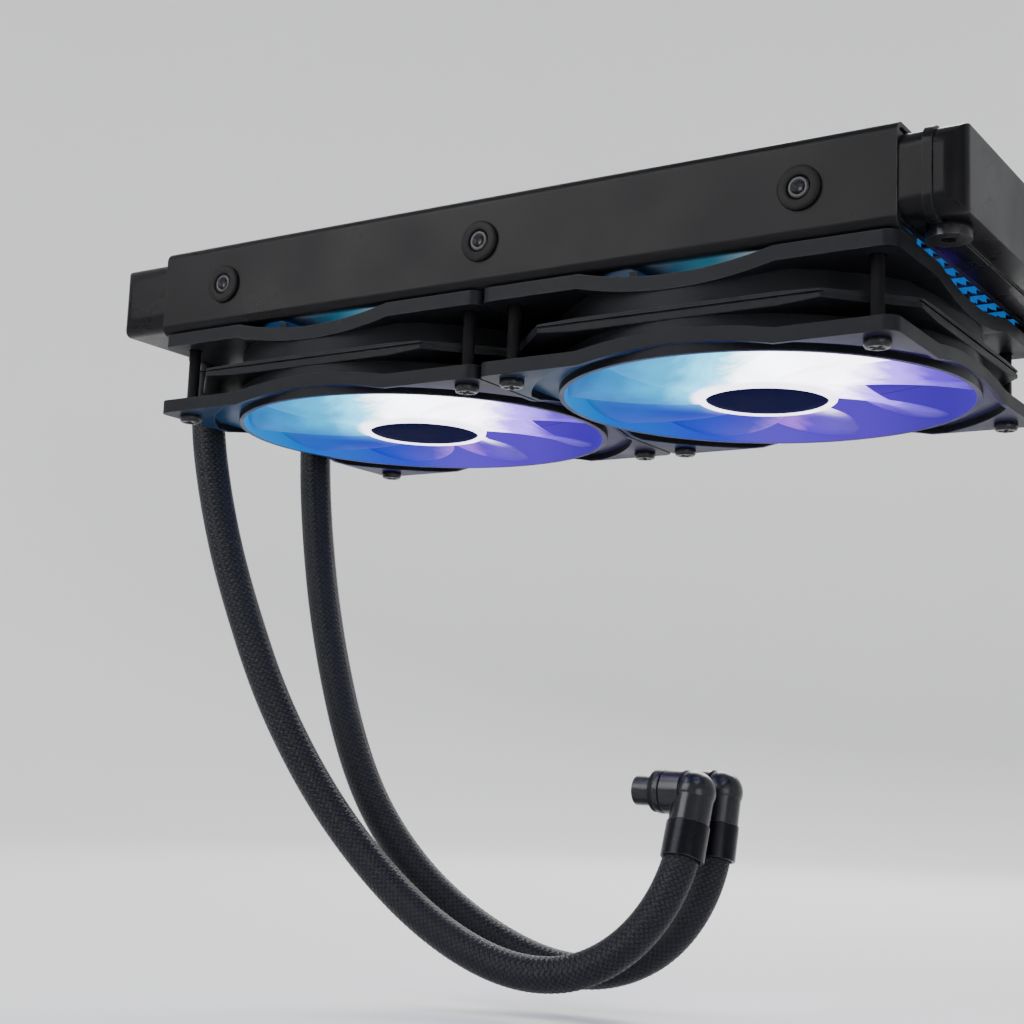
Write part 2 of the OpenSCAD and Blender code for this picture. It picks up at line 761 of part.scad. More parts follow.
module lights(x) {                      // eight small lamps that shine down into the hub
    color("white") translate([x, 0, motor_z - board_t - 1]) for (k = [0 : light_count - 1])
        rotate(360 / light_count * (k + 0.5)) translate([light_r - light_size / 2, -light_size / 2, 0])
            cube([light_size, light_size, 1]);
}

module rear_lights() lights(fan_x[0]);
module front_lights() lights(fan_x[1]);

module stator_core(x) {
    color("silver") translate([x, 0, stator_top - stator_h]) difference() {
        intersection() {
            union() {
                cylinder(r = tube_r + 2.4, h = stator_h);
                for (k = [0 : pole_count / 2 - 1]) rotate(180 / pole_count * 2 * k)
                    translate([-stator_r, -pole_w / 2, 0]) cube([2 * stator_r, pole_w, stator_h]);
                for (k = [0 : pole_count - 1]) rotate(360 / pole_count * k)
                    translate([stator_r - pole_tip_t, -pole_tip_w / 2, 0])
                        cube([pole_tip_t, pole_tip_w, stator_h]);
            }
            cylinder(r = stator_r, h = stator_h);
        }
        translate([0, 0, -cut]) cylinder(r = tube_r, h = stator_h + 2 * cut);
    }
}

module rear_stator_core() stator_core(fan_x[0]);
module front_stator_core() stator_core(fan_x[1]);

module coils(x) {                       // one winding round each pole
    inner = tube_r + 3.8;
    outer = stator_r - pole_tip_t - 0.4;
    color("peru") translate([x, 0, stator_top - stator_h]) for (k = [0 : pole_count - 1])
        rotate(360 / pole_count * k) difference() {
            translate([inner, -pole_w / 2 - coil_out, -coil_out])
                cube([outer - inner, pole_w + 2 * coil_out, stator_h + 2 * coil_out]);
            translate([0, -pole_w / 2, 0]) cube([stator_r, pole_w, stator_h]);
        }
}

module rear_coils() coils(fan_x[0]);
module front_coils() coils(fan_x[1]);

module bearing_sleeve(x) {
    color("goldenrod") translate([x, 0, bearing_end]) ring(sleeve_r, shaft_r + shaft_gap, sleeve_l);
}

module rear_bearing_sleeve() bearing_sleeve(fan_x[0]);
module front_bearing_sleeve() bearing_sleeve(fan_x[1]);

module shaft(x) {
    color("silver") translate([x, 0, yoke_end]) difference() {
        cylinder(r = shaft_r, h = clip_z + clip_t + 0.8 - yoke_end);
        translate([0, 0, clip_z - yoke_end]) ring(shaft_r + cut, shaft_r - groove_in, clip_t);
    }
}

module rear_shaft() shaft(fan_x[0]);
module front_shaft() shaft(fan_x[1]);

module shaft_clip(x) {
    color("ivory") translate([x, 0, clip_z]) ring(clip_r, shaft_r - groove_in, clip_t);
}

module rear_shaft_clip() shaft_clip(fan_x[0]);
module front_shaft_clip() shaft_clip(fan_x[1]);

module rotor_yoke(x) {                  // steel cup pressed on the shaft
    h = yoke_top - yoke_end;
    color("gray") translate([x, 0, yoke_end]) difference() {
        union() {
            difference() {
                cylinder(r = yoke_r, h = h);
                translate([0, 0, 0.8]) cylinder(r = yoke_in, h = h);
            }
            cylinder(r = 3, h = 2.4);
        }
        translate([0, 0, -cut]) cylinder(r = shaft_r, h = h);
    }
}

module rear_rotor_yoke() rotor_yoke(fan_x[0]);
module front_rotor_yoke() rotor_yoke(fan_x[1]);

module magnet_ring(x) {
    color("dimgray") translate([x, 0, stator_top - stator_h - 0.5]) ring(yoke_in, magnet_in, stator_h + 1);
}

module rear_magnet_ring() magnet_ring(fan_x[0]);
module front_magnet_ring() magnet_ring(fan_x[1]);

// ---- impellers -----------------------------------------------------------------

function blade_radius(i) = blade_root + (tip_r - blade_root) * i / blade_rings;
function blade_share(i) = i / blade_rings;
function blade_point(i, j, up) =
    let (u = blade_share(i), s = j / blade_steps, r = blade_radius(i),
        a = blade_sweep * u + (blade_span + (tip_span - blade_span) * u) * (s - 0.5),
        h = (blade_top - blade_bottom) * (1 + (tip_height - 1) * u) - blade_t,
        t = blade_t * (1 - 3.2 * (s - 0.5) * (s - 0.5)))
    [r * cos(a), r * sin(a), blade_bottom + blade_t / 2 + h * pow(s, blade_bend) + up * t / 2];

module blade() {
    n = blade_steps + 1;
    half = n * (blade_rings + 1);
    points = [for (up = [1, -1], i = [0 : blade_rings], j = [0 : blade_steps]) blade_point(i, j, up)];
    skin = [for (i = [0 : blade_rings - 1], j = [0 : blade_steps - 1]) let (a = i * n + j) each [
        [a, a + 1, a + n], [a + 1, a + n + 1, a + n],
        [half + a, half + a + n, half + a + 1], [half + a + 1, half + a + n, half + a + n + 1]
    ]];
    ends = [for (i = [0 : blade_rings - 1]) let (a = i * n, b = a + blade_steps) each [
        [a, a + n, half + a], [a + n, half + a + n, half + a],
        [b, half + b, b + n], [half + b, half + b + n, b + n]
    ]];
    sides = [for (j = [0 : blade_steps - 1]) let (a = j, b = blade_rings * n + j) each [
        [a, half + a, a + 1], [half + a, half + a + 1, a + 1],
        [b, b + 1, half + b], [b + 1, half + b + 1, half + b]
    ]];
    polyhedron(points, concat(skin, ends, sides));
}

module impeller(x) {
    color([0.75, 0.85, 1.0]) translate([x, 0, 0]) {
        difference() {
            translate([0, 0, fan_bottom]) cylinder(r = hub_r, h = hub_top - fan_bottom);
            translate([0, 0, fan_bottom - cut]) cylinder(r = cap_r, h = cap_t + cut);
            translate([0, 0, yoke_end - eps]) cylinder(r = yoke_r, h = fan_depth);
            translate([0, 0, yoke_end + 3]) ring(hub_r - hub_wall, yoke_r + 0.8, fan_depth);
        }
        for (k = [0 : blade_count - 1]) rotate(360 / blade_count * k) blade();
    }
}

module rear_impeller() impeller(fan_x[0]);
module front_impeller() impeller(fan_x[1]);

module hub_cap(x) {
    color([0.06, 0.06, 0.14]) translate([x, 0, fan_bottom]) cylinder(r = cap_r, h = cap_t);
}

module rear_hub_cap() hub_cap(fan_x[0]);
module front_hub_cap() hub_cap(fan_x[1]);

// ---- fan fittings --------------------------------------------------------------

module lead_gland(x) {                  // gland that the fan's lead leaves by, on the far side
    color("black") translate([x + dip_half + 8, fan_size / 2 - 6, seam_z - rib_down])
        mirror([0, 0, 1]) ring(gland_r, gland_r - 1, gland_l);
}

module rear_lead_gland() lead_gland(fan_x[0]);
module front_lead_gland() lead_gland(fan_x[1]);

module fan_screws() {
    color([0.1, 0.1, 0.1]) for (x = fan_x) translate([x, 0, 0]) at_screws() difference() {
        union() {
            translate([0, 0, fan_bottom - head_h]) cylinder(r = head_r, h = head_h);
            translate([0, 0, fan_bottom - eps]) cylinder(r = screw_r, h = screw_end - fan_bottom);
        }
        for (a = [45, 135]) rotate(a)
            translate([-recess_r, -recess_w / 2, fan_bottom - head_h - cut])
                cube([2 * recess_r, recess_w, 1.3 + cut]);
    }
}

core_tubes();
core_fins();
near_core_plate();
far_core_plate();
port_header();
return_header();
port_tank();
return_tank();
tank_divider();
near_side_rail();
far_side_rail();
rail_screws();
rail_grommets();
fill_plug();
fill_plug_seal();
near_port();
far_port();
port_seals();
near_hose();
far_hose();
near_hose_collar();
far_hose_collar();
near_hose_ferrule();
far_hose_ferrule();
near_elbow();
far_elbow();
near_spigot();
far_spigot();
near_spigot_seal();
far_spigot_seal();
rear_outlet_frame();
front_outlet_frame();
rear_inlet_frame();
front_inlet_frame();
rear_circuit_board();
front_circuit_board();
rear_lights();
front_lights();
rear_stator_core();
front_stator_core();
rear_coils();
front_coils();
rear_bearing_sleeve();
front_bearing_sleeve();
rear_shaft();
front_shaft();
rear_shaft_clip();
front_shaft_clip();
rear_rotor_yoke();
front_rotor_yoke();
rear_magnet_ring();
front_magnet_ring();
rear_impeller();
front_impeller();
rear_hub_cap();
front_hub_cap();
rear_lead_gland();
front_lead_gland();
fan_screws();
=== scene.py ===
import math

import bmesh
import bpy
import numpy as np
from mathutils import Matrix, Vector


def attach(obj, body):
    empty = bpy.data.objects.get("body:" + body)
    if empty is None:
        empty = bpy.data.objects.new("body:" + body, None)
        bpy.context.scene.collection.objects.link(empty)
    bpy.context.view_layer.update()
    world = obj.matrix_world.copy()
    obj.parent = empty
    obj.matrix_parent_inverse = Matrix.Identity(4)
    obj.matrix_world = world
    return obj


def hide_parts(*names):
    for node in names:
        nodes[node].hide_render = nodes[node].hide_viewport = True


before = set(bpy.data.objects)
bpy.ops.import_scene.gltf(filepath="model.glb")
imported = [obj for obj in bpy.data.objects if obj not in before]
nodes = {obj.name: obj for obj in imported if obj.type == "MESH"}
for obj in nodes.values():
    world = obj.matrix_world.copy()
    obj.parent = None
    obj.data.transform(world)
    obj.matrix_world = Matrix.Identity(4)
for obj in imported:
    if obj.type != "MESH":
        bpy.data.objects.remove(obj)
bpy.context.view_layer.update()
print("frame loaded:", len(nodes), "nodes")

mm = 0.001
fans = {"rear": -0.060, "front": 0.060}     # fan name: x of its axis


cameraSetup = {
    "place": (0.25304, -0.42621, -0.15844),
    "right": (0.8402, 0.5409, 0.0389),
    "forward": (-0.5399, 0.8275, 0.1540),
    "lens": 58.5,
}


def addCamera(setup):
    forward = Vector(setup["forward"]).normalized()
    right = Vector(setup["right"])
    right = (right - right.dot(forward) * forward).normalized()
    up = right.cross(forward)
    lens = bpy.data.cameras.new("viewCamera")
    lens.lens = setup["lens"]
    lens.sensor_width = 36
    lens.clip_start, lens.clip_end = 0.01, 20
    camera = bpy.data.objects.new("viewCamera", lens)
    bpy.context.scene.collection.objects.link(camera)
    turn = Matrix((right, up, -forward)).transposed().to_4x4()
    camera.matrix_world = Matrix.Translation(setup["place"]) @ turn
    bpy.context.scene.camera = camera


addCamera(cameraSetup)
print("camera ready")


def newGroup(name, inputs, outputs):
    group = bpy.data.node_groups.new(name, "ShaderNodeTree")
    for label, value in inputs.items():
        socket = group.interface.new_socket(name=label, in_out="INPUT", socket_type="NodeSocketFloat")
        socket.default_value = value
    for label, kind in outputs.items():
        group.interface.new_socket(name=label, in_out="OUTPUT", socket_type="NodeSocket" + kind)
    return group, group.nodes.new("NodeGroupInput"), group.nodes.new("NodeGroupOutput")


def addNode(tree, kind, settings=None, **values):       # values are socket names with _ for a space
    made = tree.nodes.new("ShaderNode" + kind)
    for key, value in (settings or {}).items():
        setattr(made, key, value)
    for key, value in values.items():
        socket = made.inputs[int(key[1:])] if key[0] == "i" and key[1:].isdigit() \
            else made.inputs[key.replace("_", " ")]
        if isinstance(value, bpy.types.NodeSocket):
            tree.links.new(value, socket)
        else:
            socket.default_value = value
    return made


def calc(tree, operation, a, b=0.0, c=0.0):
    return addNode(tree, "Math", {"operation": operation}, i0=a, i1=b, i2=c).outputs[0]


def ramp(tree, factor, stops, interpolation="LINEAR"):
    made = addNode(tree, "ValToRGB", Fac=factor)
    made.color_ramp.interpolation = interpolation
    while len(made.color_ramp.elements) < len(stops):
        made.color_ramp.elements.new(0.5)
    for element, (place, colour) in zip(made.color_ramp.elements, stops):
        element.position = place
        element.color = (*colour, 1) if len(colour) == 3 else colour
    return made.outputs["Color"]


def blendColours(tree, factor, a, b, mode="MIX"):
    made = tree.nodes.new("ShaderNodeMix")
    made.data_type = "RGBA"
    made.blend_type = mode
    for socket, value in ((made.inputs[0], factor), (made.inputs[6], a), (made.inputs[7], b)):
        if isinstance(value, bpy.types.NodeSocket):
            tree.links.new(value, socket)
        else:
            socket.default_value = (*value, 1) if hasattr(value, "__len__") else value
    return made.outputs[2]


def objectPlace(tree):
    return addNode(tree, "TexCoord").outputs["Object"]


def splitAxes(tree, vector):                # outputs named X, Y and Z
    return addNode(tree, "SeparateXYZ", Vector=vector).outputs


def mapped(tree, value, ends, results=(0.0, 1.0), kind="LINEAR"):
    made = addNode(tree, "MapRange", {"interpolation_type": kind}, Value=value, From_Min=ends[0],
                   From_Max=ends[1], To_Min=results[0], To_Max=results[1])
    return made.outputs[0]


def planeRadius(tree, x, y):
    return calc(tree, "SQRT", calc(tree, "ADD", calc(tree, "MULTIPLY", x, x), calc(tree, "MULTIPLY", y, y)))


patternSetup = {
    "poreShare": 0.5,                       # how far pores add to the fine grain
    "rubGain": 6.0, "rubNoise": (0.35, 0.62),
    "dustFacing": (0.3, 1.0),               # how far up a face looks, from no dust to all of it
    "speckScale": 4200.0,
    "streakNoise": (0.3, 0.7),
    # filamentShade: depth of the painted shade across the filaments
    "filamentHeight": 0.35, "filamentShade": 0.2,
}


def makeSurfaceGrain():                     # fine moulded or sprayed grain with soft large mottling
    group, start, end = newGroup("surfaceGrain", {"Scale": 900, "Mottle Scale": 45},
                                 {"Height": "Float", "Mottle": "Float"})
    place = objectPlace(group)
    fine = addNode(group, "TexNoise", Vector=place, Scale=start.outputs["Scale"], Detail=3.0)
    pores = addNode(group, "TexVoronoi", Vector=place, Scale=start.outputs["Scale"])
    soft = addNode(group, "TexNoise", Vector=place, Scale=start.outputs["Mottle Scale"], Detail=4.0)
    mixed = calc(group, "MULTIPLY_ADD", pores.outputs["Distance"], patternSetup["poreShare"], fine.outputs[0])
    group.links.new(mixed, end.inputs["Height"])
    group.links.new(soft.outputs[0], end.inputs["Mottle"])
    return group


def makeEdgeRub():                          # worn edges, broken up so that the wear isn't even
    group, start, end = newGroup("edgeRub", {"Radius": 0.0006, "Breakup": 260}, {"Edge": "Float"})
    rounded = addNode(group, "Bevel", {"samples": 4}, Radius=start.outputs["Radius"])
    facing = addNode(group, "NewGeometry").outputs["Normal"]
    match = addNode(group, "VectorMath", {"operation": "DOT_PRODUCT"}, i0=rounded.outputs[0], i1=facing)
    place = objectPlace(group)
    spots = addNode(group, "TexNoise", Vector=place, Scale=start.outputs["Breakup"], Detail=5.0)
    bent = calc(group, "SUBTRACT", 1.0, match.outputs["Value"])
    edge = calc(group, "MULTIPLY", bent, patternSetup["rubGain"])
    broken = mapped(group, spots.outputs[0], patternSetup["rubNoise"])
    made = calc(group, "MULTIPLY", edge, broken)
    group.links.new(calc(group, "MINIMUM", made, 1.0), end.inputs["Edge"])
    return group


def makeDustFilm():                         # settled dust, on faces that look up
    group, start, end = newGroup("dustFilm", {"Amount": 0.3, "Scale": 70}, {"Dust": "Float"})
    facing = addNode(group, "NewGeometry").outputs["Normal"]
    level = mapped(group, splitAxes(group, facing)["Z"], patternSetup["dustFacing"])
    place = objectPlace(group)
    patch = addNode(group, "TexNoise", Vector=place, Scale=start.outputs["Scale"], Detail=8.0)
    speck = addNode(group, "TexNoise", Vector=place, Scale=patternSetup["speckScale"], Detail=1.0)
    broken = calc(group, "MULTIPLY", patch.outputs[0], speck.outputs[0])
    made = calc(group, "MULTIPLY", broken, level)
    group.links.new(calc(group, "MULTIPLY", made, start.outputs["Amount"]), end.inputs["Dust"])
    return group


def makeBrushLines():                       # fine drawn or turned lines along one axis
    group, start, end = newGroup("brushLines", {"Scale": 700, "Stretch": 0.04},
                                 {"Height": "Float", "Streak": "Float"})
    parts = splitAxes(group, objectPlace(group))
    drawn = calc(group, "MULTIPLY", parts["Z"], start.outputs["Stretch"])
    place = addNode(group, "CombineXYZ", X=parts["X"], Y=parts["Y"], Z=drawn)
    lines = addNode(group, "TexNoise", Vector=place.outputs[0], Scale=start.outputs["Scale"], Detail=6.0)
    group.links.new(lines.outputs[0], end.inputs["Height"])
    group.links.new(mapped(group, lines.outputs[0], patternSetup["streakNoise"]), end.inputs["Streak"])
    return group


def makeYarn():                             # filaments side by side along one strand of sleeve; Shade is painted shade across the round filaments, with random fuzz
    group, start, end = newGroup("yarn", {"Filaments": 7, "Twist": 900},
                                 {"Height": "Float", "Shade": "Float"})
    across = splitAxes(group, addNode(group, "TexCoord").outputs["UV"])["X"]
    turn = calc(group, "MULTIPLY", across, start.outputs["Filaments"])
    wave = calc(group, "SINE", calc(group, "MULTIPLY", turn, 2 * math.pi))
    place = objectPlace(group)
    fuzz = addNode(group, "TexNoise", Vector=place, Scale=start.outputs["Twist"], Detail=3.0)
    for output, share in (("Height", "filamentHeight"), ("Shade", "filamentShade")):
        made = calc(group, "MULTIPLY_ADD", wave, patternSetup[share], fuzz.outputs[0])
        group.links.new(made, end.inputs[output])
    return group


groups = {
    "grain": makeSurfaceGrain(), "rub": makeEdgeRub(), "dust": makeDustFilm(),
    "brush": makeBrushLines(), "yarn": makeYarn(),
}


def useGroup(tree, name, **values):
    made = tree.nodes.new("ShaderNodeGroup")
    made.node_tree = groups[name]
    for key, value in values.items():
        made.inputs[key.replace("_", " ")].default_value = value
    return made.outputs


def newMaterial(name, **values):
    material = bpy.data.materials.new(name)
    material.use_nodes = True
    tree = material.node_tree
    shader = tree.nodes["Principled BSDF"]
    for key, value in values.items():
        shader.inputs[key.replace("_", " ")].default_value = value
    return material, tree, shader


def addBump(tree, shader, height, strength, distance):
    bump = addNode(tree, "Bump", Strength=strength, Distance=distance, Height=height)
    tree.links.new(bump.outputs["Normal"], shader.inputs["Normal"])


dustColour = (0.30, 0.29, 0.27)
coatedBase = {                              # what a paint's or plastic's own look may leave out
    "metal": 0.0, "shine": 0.25, "coat": 0.0, "mottle": 45, "mottleNoise": (0.3, 0.7), "bump": 0.2,
    "depth": 0.00003, "edge": 0.0005, "wear": 0.35, "dust": 0.15, "dustMatte": 0.5,
}


def coated(name, ownLook):                  # paint or plastic: grain, mottled gloss, rubbed edges, dust
    look = {**coatedBase, **ownLook}
    material, tree, shader = newMaterial(name, IOR=1.5, Metallic=look["metal"], Coat_Roughness=0.3,
                                         Specular_IOR_Level=look["shine"], Coat_Weight=look["coat"])
    grain = useGroup(tree, "grain", Scale=look["grain"], Mottle_Scale=look["mottle"])
    rub = useGroup(tree, "rub", Radius=look["edge"])
    dust = useGroup(tree, "dust", Amount=look["dust"])["Dust"]
    base = blendColours(tree, grain["Mottle"], look["dark"], look["light"])
    worn = blendColours(tree, calc(tree, "MULTIPLY", rub["Edge"], look["wear"]), base, look["rubbed"])
    tree.links.new(blendColours(tree, dust, worn, dustColour), shader.inputs["Base Color"])
    rough = mapped(tree, grain["Mottle"], look["mottleNoise"], look["gloss"])
    matte = calc(tree, "MULTIPLY_ADD", dust, look["dustMatte"], rough)
    tree.links.new(matte, shader.inputs["Roughness"])
    addBump(tree, shader, grain["Height"], look["bump"], look["depth"])
    return material


def bareMetal(name, look):                  # drawn, turned or sawn metal
    material, tree, shader = newMaterial(name, Metallic=1.0)
    brush = useGroup(tree, "brush", Scale=look["lines"], Stretch=look["stretch"])
    grain = useGroup(tree, "grain", Scale=1500, Mottle_Scale=120)
    base = blendColours(tree, brush["Streak"], look["dark"], look["light"])
    stained = blendColours(tree, calc(tree, "MULTIPLY", grain["Mottle"], 0.5), base, look["stain"])
    tree.links.new(stained, shader.inputs["Base Color"])
    tree.links.new(mapped(tree, brush["Streak"], (0, 1), look["gloss"]), shader.inputs["Roughness"])
    addBump(tree, shader, brush["Height"], 0.25, 0.00002)
    return material


paintLook = {"dark": (0.0025, 0.0025, 0.003), "light": (0.006, 0.006, 0.007), "rubbed": (0.05, 0.05, 0.053),
             "gloss": (0.26, 0.38), "grain": 1300, "bump": 0.16, "edge": 0.0006, "wear": 0.4, "shine": 0.08,
             "dust": 0.04}
tankLook = {**paintLook, "gloss": (0.22, 0.36), "grain": 1100}
frameLook = {"dark": (0.006, 0.0065, 0.008), "light": (0.012, 0.0125, 0.015), "rubbed": (0.06, 0.06, 0.065),
             "gloss": (0.34, 0.48), "grain": 1700, "bump": 0.3, "depth": 0.00004, "shine": 0.06,
             "dust": 0.05}
screwLook = {"dark": (0.012, 0.012, 0.014), "light": (0.030, 0.030, 0.033), "rubbed": (0.20, 0.20, 0.21),
             "gloss": (0.22, 0.34), "grain": 2400, "metal": 0.6, "edge": 0.0003, "wear": 0.6, "dust": 0.05}
rubberLook = {"dark": (0.003, 0.003, 0.003), "light": (0.007, 0.007, 0.007), "rubbed": (0.03, 0.03, 0.03),
              "gloss": (0.50, 0.68), "grain": 2000, "bump": 0.4, "wear": 0.3, "shine": 0.14, "dust": 0.04}
elbowLook = {"dark": (0.003, 0.003, 0.0045), "light": (0.007, 0.007, 0.010), "rubbed": (0.05, 0.05, 0.06),
             "gloss": (0.18, 0.30), "grain": 1500, "bump": 0.12, "coat": 0.05, "edge": 0.0005, "shine": 0.25,
             "dust": 0.04}
collarLook = {**elbowLook, "metal": 0.7, "gloss": (0.24, 0.36), "rubbed": (0.20, 0.20, 0.21), "coat": 0.0}
coreLook = {"dark": (0.004, 0.004, 0.005), "light": (0.009, 0.010, 0.011), "rubbed": (0.08, 0.08, 0.08),
            "gloss": (0.34, 0.50), "grain": 1600, "dust": 0.15, "shine": 0.16}
boardLook = {"dark": (0.010, 0.060, 0.030), "light": (0.016, 0.090, 0.045), "rubbed": (0.25, 0.20, 0.10),
             "gloss": (0.25, 0.35), "grain": 1900, "dust": 0.02}
nylonLook = {"dark": (0.62, 0.60, 0.53), "light": (0.74, 0.72, 0.66), "rubbed": (0.80, 0.79, 0.74),
             "gloss": (0.35, 0.5), "grain": 1800, "dust": 0.02}
magnetLook = {"dark": (0.030, 0.030, 0.032), "light": (0.055, 0.054, 0.052), "rubbed": (0.14, 0.14, 0.14),
              "gloss": (0.6, 0.75), "grain": 2600, "bump": 0.5, "dust": 0.02}
capLook = {"dark": (0.001, 0.0015, 0.022), "light": (0.002, 0.003, 0.050), "rubbed": (0.02, 0.03, 0.14),
           "gloss": (0.34, 0.46), "grain": 2100, "bump": 0.1, "dust": 0.01, "shine": 0.001, "wear": 0.1}
steelLook = {"dark": (0.38, 0.38, 0.39), "light": (0.56, 0.56, 0.57), "stain": (0.30, 0.29, 0.28),
             "gloss": (0.25, 0.42), "lines": 900, "stretch": 0.05}
copperLook = {"dark": (0.45, 0.16, 0.06), "light": (0.75, 0.32, 0.14), "stain": (0.40, 0.14, 0.07),
              "gloss": (0.22, 0.35), "lines": 2600, "stretch": 1.0}
bronzeLook = {"dark": (0.42, 0.27, 0.12), "light": (0.60, 0.42, 0.20), "stain": (0.30, 0.20, 0.10),
              "gloss": (0.35, 0.5), "lines": 1200, "stretch": 0.05}

paint = coated("satinBlackPaint", paintLook)
tankPaint = coated("satinTankPaint", tankLook)
screwBlack = coated("blackenedScrew", screwLook)
sealRubber = coated("sealRubber", rubberLook)
elbowPlastic = coated("elbowPlastic", elbowLook)
collarBlack = coated("crimpedCollar", collarLook)
corePaint = coated("corePaint", coreLook)
boardGreen = coated("circuitBoardGreen", boardLook)
nylonWhite = coated("clipNylon", nylonLook)
magnetGrey = coated("magnetFerrite", magnetLook)
capNavy = coated("hubCapNavy", capLook)
motorSteel = bareMetal("motorSteel", steelLook)
coilCopper = bareMetal("windingCopper", copperLook)
sleeveBronze = bareMetal("bearingBronze", bronzeLook)


sleeveLook = {
    # dark and light: the strands' painted shade and painted light
    "dark": (0.0006, 0.0006, 0.0010), "light": (0.020, 0.021, 0.028), "stain": (0.002, 0.002, 0.004),
    "gloss": (0.24, 0.38), "shine": 0.14,
    "edge": 0.35,                           # painted shade: brightness of a strand's edges beside its lit middle
    "over": (0.25, 0.95),                   # how high a strand lies, from painted shade to painted light
}


def makeSleeveMaterial(look):               # braided sleeve with painted light on strands that cross over, where V of the mesh is 1, and painted shade at their edges and under-crossings
    material, tree, shader = newMaterial("braidedSleeve", Specular_IOR_Level=look["shine"])
    yarn = useGroup(tree, "yarn")
    grain = useGroup(tree, "grain", Scale=2200, Mottle_Scale=90)
    parts = splitAxes(tree, addNode(tree, "TexCoord").outputs["UV"])
    over = mapped(tree, parts["Y"], look["over"], kind="SMOOTHSTEP")
    across = calc(tree, "PINGPONG", parts["X"], 0.5)
    middle = mapped(tree, across, (0, 0.5), (look["edge"], 1))
    # painted light on over-crossings and strand middles
    lit = calc(tree, "MULTIPLY", over, middle)
    shade = calc(tree, "MULTIPLY", lit, calc(tree, "MULTIPLY_ADD", yarn["Shade"], 0.8, 0.5))
    base = blendColours(tree, shade, look["dark"], look["light"])
    stained = blendColours(tree, calc(tree, "MULTIPLY", grain["Mottle"], 0.2), base, look["stain"])
    tree.links.new(stained, shader.inputs["Base Color"])
    tree.links.new(mapped(tree, yarn["Shade"], (0, 1), look["gloss"]), shader.inputs["Roughness"])
    addBump(tree, shader, yarn["Height"], 0.45, 0.00008)
    return material


bladeLook = {
    "strength": 1.0, "shine": 0.02, "gloss": (0.42, 0.56),
    "reach": 0.0575,                        # radius where the colours end
    "inlet": -0.0512,                       # height of the blades' lower edges
    "lean": {"rear": (1.9, -2.6), "front": (1.3, -2.8)},    # how the painted glow's colours shift per height
    "across": (0.84, 0.54),                 # direction in which the painted glow runs from cyan to violet
    "near": [(0.00, (0.000, 0.16, 0.55)), (0.10, (0.000, 0.34, 0.85)), (0.22, (0.000, 0.70, 1.30)),
             (0.33, (0.30, 1.90, 2.80)), (0.44, (5.50, 5.80, 6.00)), (0.64, (5.80, 5.30, 6.00)),
             (0.76, (1.00, 0.50, 3.00)), (0.88, (0.22, 0.07, 1.20)), (1.00, (0.09, 0.02, 0.60))],
    "far": [(0.00, (0.000, 0.17, 0.55)), (0.18, (0.000, 0.08, 0.62)), (0.36, (0.004, 0.03, 0.66)),
            (0.50, (0.040, 0.02, 0.70)), (0.60, (0.500, 0.16, 1.20)), (0.68, (0.130, 0.03, 0.80)),
            (0.85, (0.070, 0.015, 0.50)), (1.00, (0.035, 0.010, 0.30))],
    "sides": (-0.42, 0.12),                 # from the far ramp to the near one, in shares of the reach; the near side gets the brighter painted glow
    "wobble": 0.10,                         # how far the painted glow's colours wander
    # painted white glow round the hub, fading out between these radii
    "hubGlow": (4.0, 3.7, 4.4), "hubEdge": (0.40, 0.34),
    # painted shade streaks, one per blade, dim the glow; level is the glow's mean brightness
    "streaks": 9, "streakTwist": 7.0, "streakDepth": 0.05, "level": 0.93,
    # the blades' own colour, which keeps a small share of the painted glow
    "unlit": (0.02, 0.025, 0.05), "unlitShare": 0.95,
}


def makeBladeMaterial(name, look, lean):    # frosted blades with the hub's light painted on as emission, centred at the mesh's origin
    material, tree, shader = newMaterial(name, IOR=1.49, Specular_IOR_Level=look["shine"],
                                         Emission_Strength=look["strength"])
    parts = splitAxes(tree, objectPlace(tree))
    ax, ay = look["across"]
    high = calc(tree, "SUBTRACT", parts["Z"], look["inlet"])
    x, y = (calc(tree, "DIVIDE", calc(tree, "MULTIPLY_ADD", high, shift, parts[axis]), look["reach"])
            for axis, shift in zip("XY", lean))
    along = calc(tree, "MULTIPLY_ADD", x, ax, calc(tree, "MULTIPLY", y, ay))
    nearness = calc(tree, "MULTIPLY_ADD", x, ay, calc(tree, "MULTIPLY", y, -ax))
    radius = planeRadius(tree, x, y)
    grain = useGroup(tree, "grain", Scale=1500, Mottle_Scale=160)
    wobble = calc(tree, "MULTIPLY_ADD", grain["Mottle"], look["wobble"], -look["wobble"] / 2)
    share = calc(tree, "ADD", calc(tree, "MULTIPLY_ADD", along, 0.5, 0.5), wobble)
    # painted glow colours for the near and far sides of the fan
    nearGlow = ramp(tree, share, look["near"], "EASE")
    farGlow = ramp(tree, share, look["far"], "EASE")
    side = mapped(tree, nearness, look["sides"], kind="SMOOTHSTEP")
    hub = mapped(tree, radius, look["hubEdge"], kind="SMOOTHSTEP")
    lit = blendColours(tree, hub, blendColours(tree, side, farGlow, nearGlow), look["hubGlow"])
    # painted shade streaks swirling across the blades' glow
    twist = calc(tree, "MULTIPLY", radius, look["streakTwist"])
    swirl = calc(tree, "MULTIPLY_ADD", calc(tree, "ARCTAN2", y, x), look["streaks"], twist)
    shade = calc(tree, "MULTIPLY_ADD", calc(tree, "SINE", swirl), look["streakDepth"], look["level"])
    grey = addNode(tree, "CombineColor", Red=shade, Green=shade, Blue=shade).outputs[0]
    tree.links.new(blendColours(tree, 1.0, lit, grey, "MULTIPLY"), shader.inputs["Emission Color"])
    # base colour: the unlit colour with a small share of the painted glow mixed in
    tree.links.new(blendColours(tree, look["unlitShare"], lit, look["unlit"]), shader.inputs["Base Color"])
    tree.links.new(mapped(tree, grain["Mottle"], (0, 1), look["gloss"]), shader.inputs["Roughness"])
    addBump(tree, shader, grain["Height"], 0.1, 0.00002)
    return material


